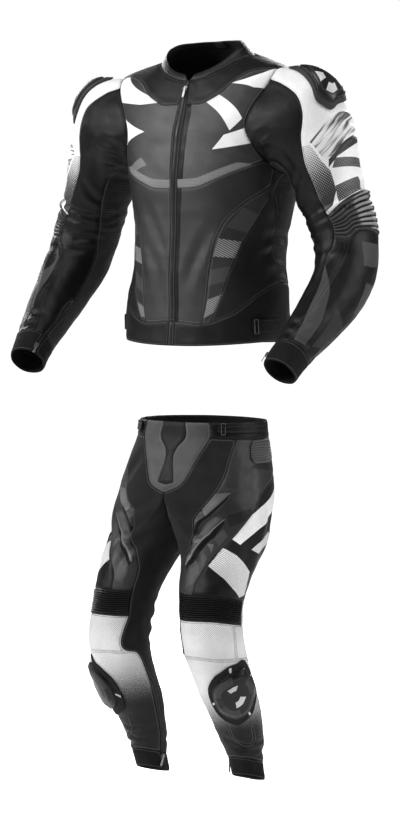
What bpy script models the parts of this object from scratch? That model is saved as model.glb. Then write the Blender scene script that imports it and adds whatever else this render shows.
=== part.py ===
"""A motorcycle race suit in two pieces, jacket above trousers, filled out with no wearer.

Metres, +Z up.  The front faces -Y and the wearer's left is +X.  The origin lies between the
shoulders.  Each garment is a smooth skin over tables of sections.  Seams are drawn on the skin,
and every panel between them is a wall of cloth, parted from its neighbours by a narrow gap.
"""

import itertools
import math

import bpy
import numpy as np
from mathutils import Vector
from mathutils.geometry import delaunay_2d_cdt

# --- driving sizes ---------------------------------------------------------------------------
LEATHER_WALL = 0.0022      # thickness of a leather panel
CUFF_WALL = 0.0026         # neoprene at wrists and ankles
COLLAR_WALL = 0.0030       # padded collar
HALF_GAP = 0.00015         # each panel stops this far from its seam line
STEP = 0.033               # spacing of the points that shape a panel
ARMHOLE_POINTS = 24        # points round an armhole, shared by body and sleeve
SHOULDER_LIFT = 0.055      # the left shoulder is carried a little higher: rise per metre of x
LIFT_FROM_Z = -0.45        # the lift starts at this height
LIFT_TO_Z = -0.10          # and is whole at this height
WELD = 3e-5                # points of neighbouring skins closer than this are one
SHARPEST_CORNER = 0.8      # limits how far a pointed corner of a panel draws back

HEM_FRONT_Z = -0.587
ZIP_HALF_ANGLE = 1.7       # half width of the front zip, in degrees round the body
CAP_LENGTH = 0.24          # outer length of a sleeve's cap, from armhole to upper arm
CROTCH_Z = -0.985
RISE_TOP_Z = -0.900         # above this height the crotch seam runs straight up
PLAIN_LEG_Z = -1.045       # below this height a leg is a plain tube
WAIST_Z = -0.750
ANKLE_Z = -1.5176
ANKLE_CUFF_Z = -1.478      # top of the ankle cuff

# Sections of the jacket's body.  v is the height above the hem at the front.
BODY_COLUMNS = ("v", "side_z", "back_z", "half_width", "front_y", "back_y", "widest_y", "power")
BODY = (
    (0.000, -0.577, -0.592, 0.188, -0.144, 0.137, -0.002, 2.20),
    (0.047, -0.535, -0.545, 0.187, -0.141, 0.137, -0.002, 2.20),
    (0.100, -0.487, -0.492, 0.181, -0.139, 0.136, 0.000, 2.25),
    (0.167, -0.420, -0.422, 0.167, -0.137, 0.140, 0.003, 2.30),
    (0.210, -0.377, -0.377, 0.165, -0.135, 0.150, 0.007, 2.30),
    (0.270, -0.317, -0.312, 0.170, -0.133, 0.166, 0.015, 2.35),
    (0.320, -0.267, -0.258, 0.177, -0.133, 0.176, 0.018, 2.40),
    (0.367, -0.220, -0.202, 0.185, -0.132, 0.180, 0.018, 2.45),
    (0.443, -0.135, -0.112, 0.196, -0.122, 0.170, 0.012, 2.50),
    (0.493, -0.055, -0.045, 0.213, -0.106, 0.145, -0.012, 2.40),
    (0.523, -0.010, -0.005, 0.208, -0.096, 0.112, -0.022, 2.20),
    (0.546, 0.010, 0.022, 0.160, -0.087, 0.088, -0.014, 2.10),
    (0.566, 0.024, 0.045, 0.112, -0.078, 0.068, -0.004, 2.00),
)
NECK_V = BODY[-1][0]

# The left armhole on the body.  phi runs round the sleeve: 0 top, -90 front, -180 underarm.
ARMHOLE_COLUMNS = ("phi", "theta", "v")
ARMHOLE = (
    (0, 81, 0.526),
    (-30, 63, 0.508),
    (-60, 49, 0.486),
    (-90, 46, 0.456),
    (-120, 54, 0.424),
    (-150, 69, 0.388),
    (-180, 92, 0.362),
    (-210, 116, 0.384),
    (-240, 130, 0.420),
    (-270, 134, 0.456),
    (-300, 127, 0.488),
    (-330, 106, 0.512),
)

# The left sleeve below its cap: centre of each ring and its half sizes.
ARM_COLUMNS = ("x", "y", "z", "lateral", "depth")
ARM = (
    (0.288, 0.010, -0.210, 0.075, 0.080),
    (0.304, 0.013, -0.260, 0.071, 0.077),
    (0.332, 0.022, -0.335, 0.067, 0.074),
    (0.350, 0.008, -0.405, 0.065, 0.072),
    (0.355, -0.034, -0.463, 0.059, 0.065),
    (0.347, -0.119, -0.541, 0.050, 0.051),
    (0.336, -0.177, -0.590, 0.042, 0.041),
    (0.3296, -0.2144, -0.627, 0.0385, 0.0385),
)
ARM_POWER = 2.15
CUFF_LENGTH = 0.052

# The collar's top ring, and how its edge dips to the front.
COLLAR = {"half_width": 0.0926, "front_y": -0.0715, "back_y": 0.034, "widest_y": -0.0188}
COLLAR_BACK_Z = 0.062
COLLAR_DIP = 0.070
COLLAR_DIP_POWER = 2.2
COLLAR_OPENING = 8.0       # degrees from the centre to each front corner

# Sections of the trousers' hips, both halves together.
HIP_COLUMNS = ("z", "half_width", "front_y", "back_y", "widest_y", "power")
HIP = (
    (-0.750, 0.1446, -0.131, 0.086, -0.020, 2.1),
    (-0.790, 0.150, -0.138, 0.090, -0.025, 2.2),
    (-0.840, 0.161, -0.152, 0.094, -0.034, 2.3),
    (-0.890, 0.173, -0.166, 0.090, -0.050, 2.3),
    (-0.930, 0.181, -0.172, 0.075, -0.065, 2.3),
    (-0.985, 0.186, -0.176, 0.045, -0.080, 2.3),
    (-1.045, 0.186, -0.180, 0.000, -0.095, 2.3),
)

# The left leg: centre of each ring, its half sizes and the slope of its plane.
LEG_COLUMNS = ("z", "x", "y", "lateral", "depth", "slope")
LEG = (
    (-0.985, 0.096, -0.070, 0.092, 0.105, 0.0),
    (-1.0245, 0.101, -0.092, 0.086, 0.096, 0.1),
    (-1.0915, 0.109, -0.133, 0.074, 0.080, 0.2),
    (-1.144, 0.114, -0.154, 0.066, 0.070, 0.1),
    (-1.200, 0.122, -0.161, 0.065, 0.068, 0.0),
    (-1.232, 0.125, -0.158, 0.065, 0.068, -0.1),
    (-1.272, 0.1255, -0.141, 0.064, 0.068, -0.2),
    (-1.330, 0.127, -0.111, 0.063, 0.065, -0.25),
    (-1.385, 0.127, -0.082, 0.055, 0.056, -0.25),
    (-1.434, 0.127, -0.059, 0.047, 0.047, -0.25),
    (-1.478, 0.1275, -0.045, 0.037, 0.038, -0.25),
    (-1.5176, 0.1265, -0.032, 0.0345, 0.035, -0.25),
)
LEG_POWER = 2.1
THIGH_GAP = 0.0005         # each inner thigh stays this far from the middle
THIGH_SPREAD = 0.10        # and moves away by this much per metre below the crotch

# The crotch seam on the left half: height at each angle, and where hips turn into legs.
RISE_COLUMNS = ("phi", "z")
RISE = (
    (-180, -0.985), (-150, -0.980), (-125, -0.968), (-105, -0.942), (-90, -0.900),
    (-60, -0.945), (0, -0.955), (60, -0.945),
    (90, -0.900), (105, -0.942), (125, -0.968), (150, -0.980), (180, -0.985),
)

# --- seams: lists of (angle, height) on a skin, left half -------------------------------------
HEM_BAND = ((0, 0.052), (ZIP_HALF_ANGLE, 0.052), (22, 0.048), (43, 0.068), (68, 0.110),
            (100, 0.134), (112, 0.130), (140, 0.115), (180, 0.108))
UNDERBUST = ((ZIP_HALF_ANGLE, 0.336), (15, 0.338), (30, 0.356), (46, 0.372), (69, 0.388))
YOKE_FRONT = ((ZIP_HALF_ANGLE, 0.514), (12, 0.513), (20, 0.521), (35, 0.536), (58, 0.540),
              (81, 0.526))
YOKE_BACK = ((106, 0.512), (130, 0.503), (155, 0.496), (180, 0.493))
INSERT_INNER = ((21, 0.048), (28, 0.164), (34, 0.238), (38, 0.262), (51, 0.296), (78, 0.335))
INSERT_OUTER = ((27, 0.052), (41, 0.140), (58, 0.226), (78, 0.312))
INSERT_END = ((78, 0.335), (78, 0.312))
SIDE_UPPER = ((78, 0.335), (80, 0.376))
SIDE_BACK = ((92, 0.362), (84, 0.332), (89, 0.268), (88, 0.204), (95, 0.133))
BACK_SIDE = ((116, 0.384), (111, 0.320), (108, 0.220), (112, 0.130))

SLEEVE_FRONT = ((-22, 0), (-30, 0.035), (-38, 0.080), (-52, 0.130), (-72, 0.175), (-84, 0.230),
                (-80, 0.290), (-74, 0.345), (-78, 0.415), (-96, 0.470), (-105, 0.600), (-112, 0.717))
ELBOW_TOP = ((-74, 0.345), (-40, 0.330), (0, 0.325), (62, 0.325))
ELBOW_BOTTOM = ((-78, 0.415), (-56, 0.424), (-34, 0.405), (20, 0.400), (62, 0.400))
ELBOW_BACK = ((62, 0.325), (62, 0.400))
FOREARM_TOP = ((62, 0.400), (100, 0.410), (135, 0.400))
UNDER_FRONT = ((-155, 0), (-138, 0.200), (-134, 0.290), (-146, 0.380), (-166, 0.460), (-174, 0.520),
               (-176, 0.585))
UNDER_BACK = ((150, 0), (140, 0.200), (135, 0.400), (140, 0.520), (150, 0.717))
WRIST_ZIP_INNER = ((-176, 0.585), (-163, 0.678), (-153, 0.717), (-143, 0.769))
WRIST_ZIP_OUTER = ((-176, 0.585), (-166, 0.592), (-152, 0.678), (-142, 0.717), (-132, 0.769))

WAISTBAND = ((-57, -0.783), (0, -0.788), (90, -0.785))
FLY = ((-57, -0.750), (-57, -0.783), (-60, -0.795), (-69, -0.830), (-75, -0.864), (-80, -0.884),
       (-90, -0.900))
PLACKET = ((-80, -0.750), (-80, -0.786), (-85, -0.802), (-85, -0.882))
THIGH_INNER = ((-30, -0.785), (-37, -0.825), (-44, -0.872), (-53, -0.905), (-65, -0.940),
               (-75, -0.972), (-88, -1.000), (-106, -1.022), (-122, -1.045), (-129, -1.095))
SIDE_PANEL_FRONT = ((41, -0.860), (25, -0.868), (8, -0.885), (-12, -0.942), (-40, -0.996),
                    (-72, -1.034), (-86, -1.056), (-92, -1.0948))
SEAT_SIDE = ((50, -0.786), (44, -0.830), (41, -0.860), (46, -0.950), (58, -1.020), (62, -1.130))
KNEE_TOP = ((-129, -1.095), (-92, -1.0948), (-72, -1.095), (-38, -1.104), (0, -1.122), (18, -1.130),
            (62, -1.130))
KNEE_END = ((18, -1.130), (18, -1.178))
KNEE_BOTTOM = ((-138, -1.163), (-114, -1.161), (-52, -1.161), (-14, -1.170), (18, -1.178))
KNEE_INNER = ((-129, -1.095), (-138, -1.163))
SHIN_INNER = ((-138, -1.163), (-136, -1.2476), (-160, -1.252), (-168, -1.290), (-169, -1.370),
              (-169, -1.478))
CALF_ZIP = ((-168, -1.290), (-174, -1.305), (-177, -1.370), (-177, -1.478), (-177, -1.5176))
CALF_ZIP_CUFF = ((-169, -1.478), (-169, -1.5176))
SHIN_BACK = ((62, -1.130), (66, -1.200), (72, -1.300), (76, -1.478))
BACK_OF_KNEE = ((62, -1.130), (105, -1.150), (140, -1.120), (152, -1.060), (150, -0.980))
COLLAR_FRONT_EDGE = ((ZIP_HALF_ANGLE, 0), (3.5, 0.40), (6.0, 0.78), (9.0, 0.95), (15.0, 1))

# --- raised lines on the panels ----------------------------------------------------------------
SHOULDER_PLEATS = (
    ((-5, 0.176), (70, 0.176)),
    ((-5, 0.198), (70, 0.198)),
    ((-5, 0.220), (70, 0.220)),
)
PLEAT_WIDTH = 0.0110       # from crest to foot
PLEAT_HEIGHT = 0.0045
THIGH_RIDGES = (
    ((-38, -0.900), (-60, -0.950), (-84, -1.005)),
    ((-42, -0.950), (-70, -1.004), (-108, -1.044)),
)
RIDGE_WIDTH = 0.009
RIDGE_HEIGHT = 0.0055
RIDGE_STEP = 0.020
RIDGE_CLEARANCE = 0.006    # no raised point is nearer to a seam than this
CHAIN_HEIGHT = 0.0010      # a closed zip's teeth stand this far above its tape
WRIST_CHAIN = [(-166, 0.625), (-160, 0.660), (-154, 0.690), (-146, 0.725), (-141, 0.748)]
CALF_CHAIN = [(-171, -1.33), (-173, -1.36), (-173, -1.39), (-173, -1.42), (-173, -1.45), (-173, -1.49)]

# --- names -------------------------------------------------------------------------------------
SINGLE = ("collar", "front_zip", "yoke", "back", "hem_band", "waistband", "placket", "seat")


def columns(names, rows):
    """The rows of a table as one array for each named column."""
    return {name: np.array([row[i] for row in rows], float) for i, name in enumerate(names)}


def hermite(t, y0, y1, slope0, slope1):
    """A cubic from y0 to y1; both slopes are per unit of t."""
    return ((1 + 2 * t) * (1 - t) ** 2 * y0 + t * (1 - t) ** 2 * slope0
            + t * t * (3 - 2 * t) * y1 + t * t * (t - 1) * slope1)


def smooth(x, y, at):
    """A monotone cubic through the points (x, y), read at `at`."""
    x, y = np.asarray(x, float), np.asarray(y, float)
    if x[0] > x[-1]:
        x, y = x[::-1], y[::-1]
    at = np.clip(np.asarray(at, float), x[0], x[-1])
    width = np.diff(x)
    rise = np.diff(y) / width
    slope = np.zeros(len(x))
    before, after = 2 * width[1:] + width[:-1], width[1:] + 2 * width[:-1]
    with np.errstate(divide="ignore", invalid="ignore"):
        mean = (before + after) / (before / rise[:-1] + after / rise[1:])
    slope[1:-1] = np.where(rise[:-1] * rise[1:] > 0, mean, 0)
    slope[0], slope[-1] = rise[0], rise[-1]
    i = np.clip(np.searchsorted(x, at, side="right") - 1, 0, len(width) - 1)
    t = (at - x[i]) / width[i]
    return hermite(t, y[i], y[i + 1], width[i] * slope[i], width[i] * slope[i + 1])


def periodic(x, y, at, period=360.0):
    """A closed smooth curve through the points (x, y), read at `at`."""
    order = np.argsort(x)
    x, y = np.asarray(x, float)[order], np.asarray(y, float)[order]
    wide_x = np.concatenate([x[-2:] - period, x, x[:2] + period])
    wide_y = np.concatenate([y[-2:], y, y[:2]])
    slope = (wide_y[2:] - wide_y[:-2]) / (wide_x[2:] - wide_x[:-2])
    x, y = wide_x[1:-1], wide_y[1:-1]
    at = (np.asarray(at, float) - x[1]) % period + x[1]
    i = np.clip(np.searchsorted(x, at, side="right") - 1, 0, len(x) - 2)
    width = x[i + 1] - x[i]
    t = (at - x[i]) / width
    return hermite(t, y[i], y[i + 1], width * slope[i], width * slope[i + 1])


def ease(t):
    """0 to 1 with flat ends."""
    t = np.clip(t, 0, 1)
    return t * t * (3 - 2 * t)


def squared(c, power):
    """A sine or cosine bent towards a rounded square."""
    return np.sign(c) * np.abs(c) ** (2 / power)


def both(u, v):
    return np.broadcast_arrays(np.asarray(u, float), np.asarray(v, float))


# --- skins -----------------------------------------------------------------------------------
BODY_TABLE = columns(BODY_COLUMNS, BODY)
ARMHOLE_TABLE = columns(ARMHOLE_COLUMNS, ARMHOLE)
ARM_TABLE = columns(ARM_COLUMNS, ARM)
HIP_TABLE = columns(HIP_COLUMNS, HIP)
LEG_TABLE = columns(LEG_COLUMNS, LEG)
RISE_TABLE = columns(RISE_COLUMNS, RISE)
ARM_LINE = np.stack([ARM_TABLE[k] for k in "xyz"], -1)
ARM_ALONG = np.concatenate([[0], np.cumsum(np.linalg.norm(np.diff(ARM_LINE, axis=0), axis=1))])
SLEEVE_LENGTH = CAP_LENGTH + ARM_ALONG[-1]
CUFF_TOP = SLEEVE_LENGTH - CUFF_LENGTH


def body(theta, v):
    """The jacket's body.  theta: 0 front, 90 left, 180 back."""
    theta, v = both(theta, v)
    g = {k: smooth(BODY_TABLE["v"], BODY_TABLE[k], v) for k in BODY_COLUMNS[1:]}
    s, c = np.sin(np.radians(theta)), np.cos(np.radians(theta))
    s = np.where(np.abs(s) < 1e-9, 0, s)
    reach = np.where(c > 0, g["widest_y"] - g["front_y"], g["back_y"] - g["widest_y"])
    z = (g["side_z"] + (HEM_FRONT_Z + v - g["side_z"]) * np.maximum(c, 0) ** 2
         + (g["back_z"] - g["side_z"]) * np.maximum(-c, 0) ** 2)
    x = g["half_width"] * squared(s, g["power"])
    return np.stack([x, g["widest_y"] - reach * squared(c, g["power"]), z], -1)


def collar(theta, h):
    """The stand collar, from the neck ring at h = 0 to its top edge at h = 1."""
    theta, h = both(theta, h)
    s, c = np.sin(np.radians(theta)), np.cos(np.radians(theta))
    s = np.where(np.abs(s) < 1e-9, 0, s)
    mid = COLLAR["widest_y"]
    reach = np.where(c > 0, mid - COLLAR["front_y"], COLLAR["back_y"] - mid)
    front = ((1 + c) / 2) ** COLLAR_DIP_POWER
    top = np.stack([COLLAR["half_width"] * s, mid - reach * c, COLLAR_BACK_Z - COLLAR_DIP * front], -1)
    k = h[..., None]
    return body(theta, NECK_V) * (1 - k) + top * k


def armhole(phi):
    """(theta, v) of the left armhole."""
    table = ARMHOLE_TABLE
    return periodic(table["phi"], table["theta"], phi), periodic(table["phi"], table["v"], phi)


def arm_frame(s):
    """Centre, direction, back and side vectors of the arm at s metres below the cap."""
    def at(q):
        return np.stack([smooth(ARM_ALONG, ARM_LINE[:, k], q) for k in range(3)], -1)
    ahead = at(s + 0.01) - at(s - 0.01)
    ahead /= np.linalg.norm(ahead, axis=-1, keepdims=True)
    back = np.cross([1.0, 0.0, 0.0], ahead)
    back /= np.linalg.norm(back, axis=-1, keepdims=True)
    return at(s), ahead, back, np.cross(ahead, back)


def arm_tube(phi, s):
    centre, _, back, side = arm_frame(s)
    lateral = smooth(ARM_ALONG, ARM_TABLE["lateral"], s) * squared(np.cos(np.radians(phi)), ARM_POWER)
    depth = smooth(ARM_ALONG, ARM_TABLE["depth"], s) * squared(np.sin(np.radians(phi)), ARM_POWER)
    return centre + side * lateral[..., None] + back * depth[..., None]


def sleeve(phi, w):
    """The left sleeve.  phi: 0 outer, 90 back, 180 inner, -90 front; w: metres from the armhole."""
    phi, w = both(phi, w)
    turn = np.radians(phi)
    under = ((1 - np.cos(turn)) / 2)[..., None]
    leave = np.concatenate([1 - 0.25 * under, 0.25 * np.sin(turn)[..., None], 0.02 - 0.65 * under], -1)
    leave /= np.linalg.norm(leave, axis=-1, keepdims=True)
    start, end = body(*armhole(phi)), arm_tube(phi, np.zeros_like(phi))
    chord = np.linalg.norm(end - start, axis=-1, keepdims=True)
    ahead = arm_frame(np.zeros_like(phi))[1]
    t = np.clip(w / CAP_LENGTH, 0, 1)[..., None]
    cap = hermite(t, start, end, leave * chord * (1.9 - 0.9 * under), ahead * chord * (1.4 - 0.4 * under))
    return np.where(w[..., None] < CAP_LENGTH, cap, arm_tube(phi, np.maximum(w - CAP_LENGTH, 0)))


def leg(phi, z):
    """The trousers' left half.  phi: 0 outer, 90 back, 180 inner, -90 front."""
    phi, z = both(phi, z)
    phi = (phi + 180) % 360 - 180
    c, s = np.cos(np.radians(phi)), np.sin(np.radians(phi))
    c = np.where(np.abs(c) < 1e-9, 0, c)
    g = {k: smooth(HIP_TABLE["z"], HIP_TABLE[k], np.maximum(z, HIP[-1][0])) for k in HIP_COLUMNS[1:]}
    inner = np.abs(phi) > 90
    reach = np.where(s < 0, g["widest_y"] - g["front_y"], g["back_y"] - g["widest_y"])
    across = np.where(phi >= 0, 180 - phi, -180 - phi) / 90
    hip_x = np.where(inner, 0.0, g["half_width"] * squared(np.maximum(c, 0), g["power"]))
    hip_y = np.where(inner, (g["back_y"] + g["front_y"]) / 2 + (g["back_y"] - g["front_y"]) / 2 * across,
                     g["widest_y"] + reach * squared(s, g["power"]))
    hip = np.stack([hip_x, hip_y, z], -1)
    low = {k: smooth(LEG_TABLE["z"], LEG_TABLE[k], np.minimum(z, LEG[0][0])) for k in LEG_COLUMNS[1:]}
    back = low["depth"] * squared(s, LEG_POWER)
    tube = np.stack([low["x"] + low["lateral"] * squared(c, LEG_POWER), low["y"] + back,
                     z + low["slope"] * back], -1)
    rise = smooth(RISE_TABLE["phi"], RISE_TABLE["z"], phi)
    blend = ease((rise - z) / (rise - PLAIN_LEG_Z))[..., None]
    point = hip * (1 - blend) + tube * blend
    apart = np.where(rise - z > 1e-6, THIGH_GAP + THIGH_SPREAD * (rise - z), 0)
    point[..., 0] = np.where(inner, np.maximum(point[..., 0], apart), point[..., 0])
    return point


def lifted(points):
    """The posture: the left shoulder rises a little and the right one falls."""
    points = np.array(points, float)
    k = ease((points[..., 2] - LIFT_FROM_Z) / (LIFT_TO_Z - LIFT_FROM_Z))
    points[..., 2] += SHOULDER_LIFT * points[..., 0] * k
    return points


# --- seams and triangles on a skin ------------------------------------------------------------
class Patch:
    """One skin cut up by seams.  Lines are arrays of (angle, height); a name fills each area."""

    def __init__(self, surface, metres_per_degree, outward=True):
        self.surface = surface
        self.scale = np.array([metres_per_degree, 1.0])
        self.outward = outward
        self.lines = []
        self.shared = []
        self.extra = []
        self.seeds = []

    def space(self, line):
        return self.surface(line[:, 0], line[:, 1])

    def resample(self, line, step=STEP):
        """Points at even distances along a line, ends kept."""
        along = np.concatenate([[0], np.cumsum(np.linalg.norm(np.diff(self.space(line), axis=0), axis=1))])
        count = max(1, math.ceil(along[-1] / step - 0.05))
        at = np.linspace(0, along[-1], count + 1)
        return np.stack([np.interp(at, along, line[:, k]) for k in (0, 1)], -1)

    def edge(self, line, shared=True):
        """An outer edge; a shared one keeps its points, because another skin has them too."""
        self.lines.append(np.array(line, float))
        self.shared.append(shared)

    def straight(self, start, end, shared=False):
        t = np.linspace(0, 1, 200)[:, None]
        line = np.array(start, float) * (1 - t) + np.array(end, float) * t
        self.edge(self.resample(line), shared)

    def seam(self, points):
        """A smooth seam through the given points."""
        self.edge(self.resample(self.fine(np.array(points, float))), False)

    def fine(self, points):
        """Many points on a smooth curve through a few."""
        if len(points) == 2:
            t = np.linspace(0, 1, 60)[:, None]
            return points[0] * (1 - t) + points[1] * t
        flat = points * self.scale
        knots = np.concatenate([[0], np.cumsum(np.linalg.norm(np.diff(flat, axis=0), axis=1))])
        slopes = np.gradient(points, knots, axis=0)
        at = np.linspace(0, knots[-1], 60 * len(points))
        i = np.clip(np.searchsorted(knots, at, side="right") - 1, 0, len(knots) - 2)
        width = (knots[i + 1] - knots[i])[:, None]
        t = (at - knots[i])[:, None] / width
        return hermite(t, points[i], points[i + 1], slopes[i] * width, slopes[i + 1] * width)

    def join_ends(self, reach=0.016):
        """Each seam's loose ends go onto the nearest point of the line that they meet."""
        for n in 2 * [k for k, shared in enumerate(self.shared) if not shared]:
            self.join_end(n, 0, reach)
            self.join_end(n, -1, reach)

    def join_end(self, n, end, reach):
        point = self.lines[n][end] * self.scale
        best = (reach, None)
        for m, other in enumerate(self.lines):
            if m == n:
                continue
            flat = other * self.scale
            near = np.linalg.norm(flat - point, axis=1)
            k = int(near.argmin())
            a, b = flat[:-1], flat[1:]
            along = b - a
            t = np.clip(((point - a) * along).sum(1) / np.maximum((along ** 2).sum(1), 1e-18), 0, 1)
            foot = a + along * t[:, None]
            gap = np.linalg.norm(foot - point, axis=1)
            i = int(gap.argmin())
            corner = near[k] < max(gap[i] * 1.02, 0.002) or self.shared[m]
            if corner and near[k] < best[0]:
                best = (near[k], (m, k, None))
            elif not corner and gap[i] < best[0]:
                best = (gap[i], (m, i + 1, foot[i] / self.scale))
        if best[1] is None:
            return
        m, k, foot = best[1]
        if foot is not None:
            self.lines[m] = np.insert(self.lines[m], k, foot, axis=0)
            self.lines[n][end] = foot
        else:
            self.lines[n][end] = self.lines[m][k]

    def fill(self, name, *spots):
        """The panel `name` fills the areas round these points."""
        self.seeds += [(name, spot) for spot in spots]

    def scatter(self, u_range, v_range, guide, step=STEP):
        """Evenly spread inner points, kept off the lines."""
        v = np.linspace(*v_range, 400)
        along = np.concatenate([[0], np.cumsum(np.linalg.norm(
            np.diff(self.surface(np.full(400, float(guide)), v), axis=0), axis=1))])
        rows = np.interp(np.arange(step * 0.45, along[-1], step * 0.87), along, v)
        found = []
        for n, row in enumerate(rows):
            u = np.linspace(*u_range, 361)
            ring = np.concatenate([[0], np.cumsum(np.linalg.norm(
                np.diff(self.surface(u, np.full(361, row)), axis=0), axis=1))])
            count = max(3, round(ring[-1] / step))
            at = (np.arange(count) + (0.25 if n % 2 else 0.75)) / count * ring[-1]
            found += [(a, row) for a in np.interp(at, ring, u)]
        found = np.array(found)
        near = self.seam_points()
        if self.extra:
            near = np.concatenate([near, np.array(self.extra)])
        p, q = self.space(found), self.space(near)
        clear = [np.linalg.norm(q - point, axis=1).min() > step * 0.48 for point in p]
        self.extra += [tuple(point) for point in found[np.array(clear)]]

    def seam_points(self):
        """Close points along every line."""
        return np.concatenate([self.resample(self.fine(line[i:i + 2]), STEP / 4)
                               for line in self.lines for i in range(len(line) - 1)])

    def triangles(self):
        """Points, triangles and panel names."""
        index, points, edges = {}, [], []

        def number(point):
            key = (round(point[0] * 1e5), round(point[1] * 1e8))
            if key not in index:
                index[key] = len(points)
                points.append(Vector(np.asarray(point) * self.scale))
            return index[key]

        for line in self.lines:
            chain = [number(point) for point in line]
            edges += [(a, b) for a, b in zip(chain, chain[1:]) if a != b]
        for point in self.extra:
            number(point)
        out = delaunay_2d_cdt(points, edges, [], 0, 1e-7)
        flat, tris, walls = out[0], out[2], out[4]
        barrier = {tuple(sorted(edge)) for edge, source in zip(out[1], walls) if source}
        beside = {}
        for n, tri in enumerate(tris):
            for a, b in zip(tri, tri[1:] + tri[:1]):
                beside.setdefault(tuple(sorted((a, b))), []).append(n)
        flat = np.array([tuple(point) for point in flat])
        names = [None] * len(tris)
        corners = flat[np.array(tris)]
        for name, spot in self.seeds:
            start = self.holding(corners, np.array(spot) * self.scale)
            if names[start] not in (None, name):
                raise ValueError(f"{name} leaks into {names[start]}")
            queue, names[start] = [start], name
            while queue:
                n = queue.pop()
                for a, b in zip(tris[n], tris[n][1:] + tris[n][:1]):
                    side = tuple(sorted((a, b)))
                    for m in beside[side]:
                        if side not in barrier and names[m] is None:
                            names[m] = name
                            queue.append(m)
        kept = [n for n, name in enumerate(names) if name]
        tris = [tris[n] if self.outward else tris[n][::-1] for n in kept]
        used = sorted({i for tri in tris for i in tri})
        at = {i: n for n, i in enumerate(used)}
        tris = [[at[i] for i in tri] for tri in tris]
        return flat[used] / self.scale, tris, [names[n] for n in kept]

    @staticmethod
    def holding(corners, spot):
        """The triangle that a point lies in."""
        inside = np.ones(len(corners), bool)
        for k in range(3):
            a, b = corners[:, k], corners[:, (k + 1) % 3]
            cross = (b[:, 0] - a[:, 0]) * (spot[1] - a[:, 1]) - (b[:, 1] - a[:, 1]) * (spot[0] - a[:, 0])
            inside &= cross >= 0
        return int(np.argmax(inside))


class Skin:
    """All panels of a garment, welded, so that neighbours share points and normals."""

    def __init__(self):
        self.cells = {}
        self.points = []
        self.faces = {}
        self.places = {}

    def number(self, point):
        """The welded point nearest to this one, or a new one."""
        cell = tuple(int(math.floor(c / WELD)) for c in point)
        for step in itertools.product((-1, 0, 1), repeat=3):
            for n in self.cells.get(tuple(c + s for c, s in zip(cell, step)), ()):
                if np.linalg.norm(self.points[n] - point) < WELD:
                    return n
        self.cells.setdefault(cell, []).append(len(self.points))
        self.points.append(point)
        return len(self.points) - 1

    def add(self, patch):
        """Put both halves in: the patch as it is and its mirror image."""
        flat, tris, names = patch.triangles()
        space = patch.space(flat)
        for side, flip in (("_left", 1), ("_right", -1)):
            numbers = [self.number(point * [flip, 1, 1]) for point in space]
            for tri, name in zip(tris, names):
                label = name if name in SINGLE else name + side
                face = [numbers[i] for i in tri]
                self.faces.setdefault(label, []).append(face[::flip])
                for i, n in zip(tri, face):
                    self.places[label, n] = flat[i]

    def finish(self):
        """One normal for each point, over all panels."""
        self.points = np.array(self.points)
        faces = np.array([face for label in self.faces for face in self.faces[label]])
        a, b, c = (self.points[faces[:, k]] for k in range(3))
        self.normals = np.zeros_like(self.points)
        for k in range(3):
            np.add.at(self.normals, faces[:, k], np.cross(b - a, c - a))
        self.normals /= np.linalg.norm(self.normals, axis=1, keepdims=True)


def open_edges(faces):
    """The edges that only one face uses, in that face's direction."""
    edges = {(a, b) for face in faces for a, b in zip(face, face[1:] + face[:1])}
    return sorted(edge for edge in edges if edge[::-1] not in edges)


def panel(skin, label, wall, relief=None):
    """Points and faces of one panel as a closed wall of cloth."""
    faces = skin.faces[label]
    rim = open_edges(faces)
    used = sorted({i for face in faces for i in face})
    at = {i: n for n, i in enumerate(used)}
    points, normals = skin.points[used], skin.normals[used]
    inward = np.zeros_like(points)
    for a, b in rim:
        along = skin.points[b] - skin.points[a]
        for i in (a, b):
            side = np.cross(skin.normals[i], along)
            inward[at[i]] += side / np.linalg.norm(side)
    length = np.linalg.norm(inward, axis=1)
    # The sum of two unit vectors is 2 cos(half the turn), so this keeps the gap even at corners.
    reach = 2 * HALF_GAP / np.maximum(length, SHARPEST_CORNER) ** 2
    points = points + inward * reach[:, None]
    height = np.zeros(len(used))
    if relief:
        places = np.array([skin.places[label, i] for i in used])
        height = np.where(length > 0, 0, relief(places[:, 0], places[:, 1]))
    n = len(used)
    tris = [[at[i] for i in face] for face in faces]
    tris += [[n + at[i] for i in face[::-1]] for face in faces]
    for a, b in rim:
        # Neighbours must split their facing side walls along the same diagonal.
        top_a, top_b, low_a, low_b = at[a], at[b], n + at[a], n + at[b]
        if a < b:
            tris += [[top_b, top_a, low_b], [top_a, low_a, low_b]]
        else:
            tris += [[top_b, top_a, low_a], [top_b, low_a, low_b]]
    return np.concatenate([points + normals * height[:, None], points - normals * wall]), tris


# --- relief: how far the outer side of a panel stands out --------------------------------------
def seam_height(points):
    """The height of a seam as a function of the angle."""
    table = np.array(sorted(points), float)
    return lambda u: smooth(table[:, 0], table[:, 1], u)


ELBOW_RIBS = {"count": 8, "height": 0.0035, "angles": (-66, -44, -20, 4, 28, 52),
              "top": seam_height(ELBOW_TOP), "bottom": seam_height(ELBOW_BOTTOM)}
KNEE_RIBS = {"count": 12, "height": 0.0032, "angles": (-122, -100, -78, -56, -34, -12, 8),
             "top": seam_height(KNEE_TOP), "bottom": seam_height(KNEE_BOTTOM)}


def rib_points(ribs):
    """Points along the crest and the foot of each rib."""
    rows = np.arange(1, 2 * ribs["count"]) / (2 * ribs["count"])
    return [(u, ribs["top"](u) * (1 - t) + ribs["bottom"](u) * t) for t in rows for u in ribs["angles"]]


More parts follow.
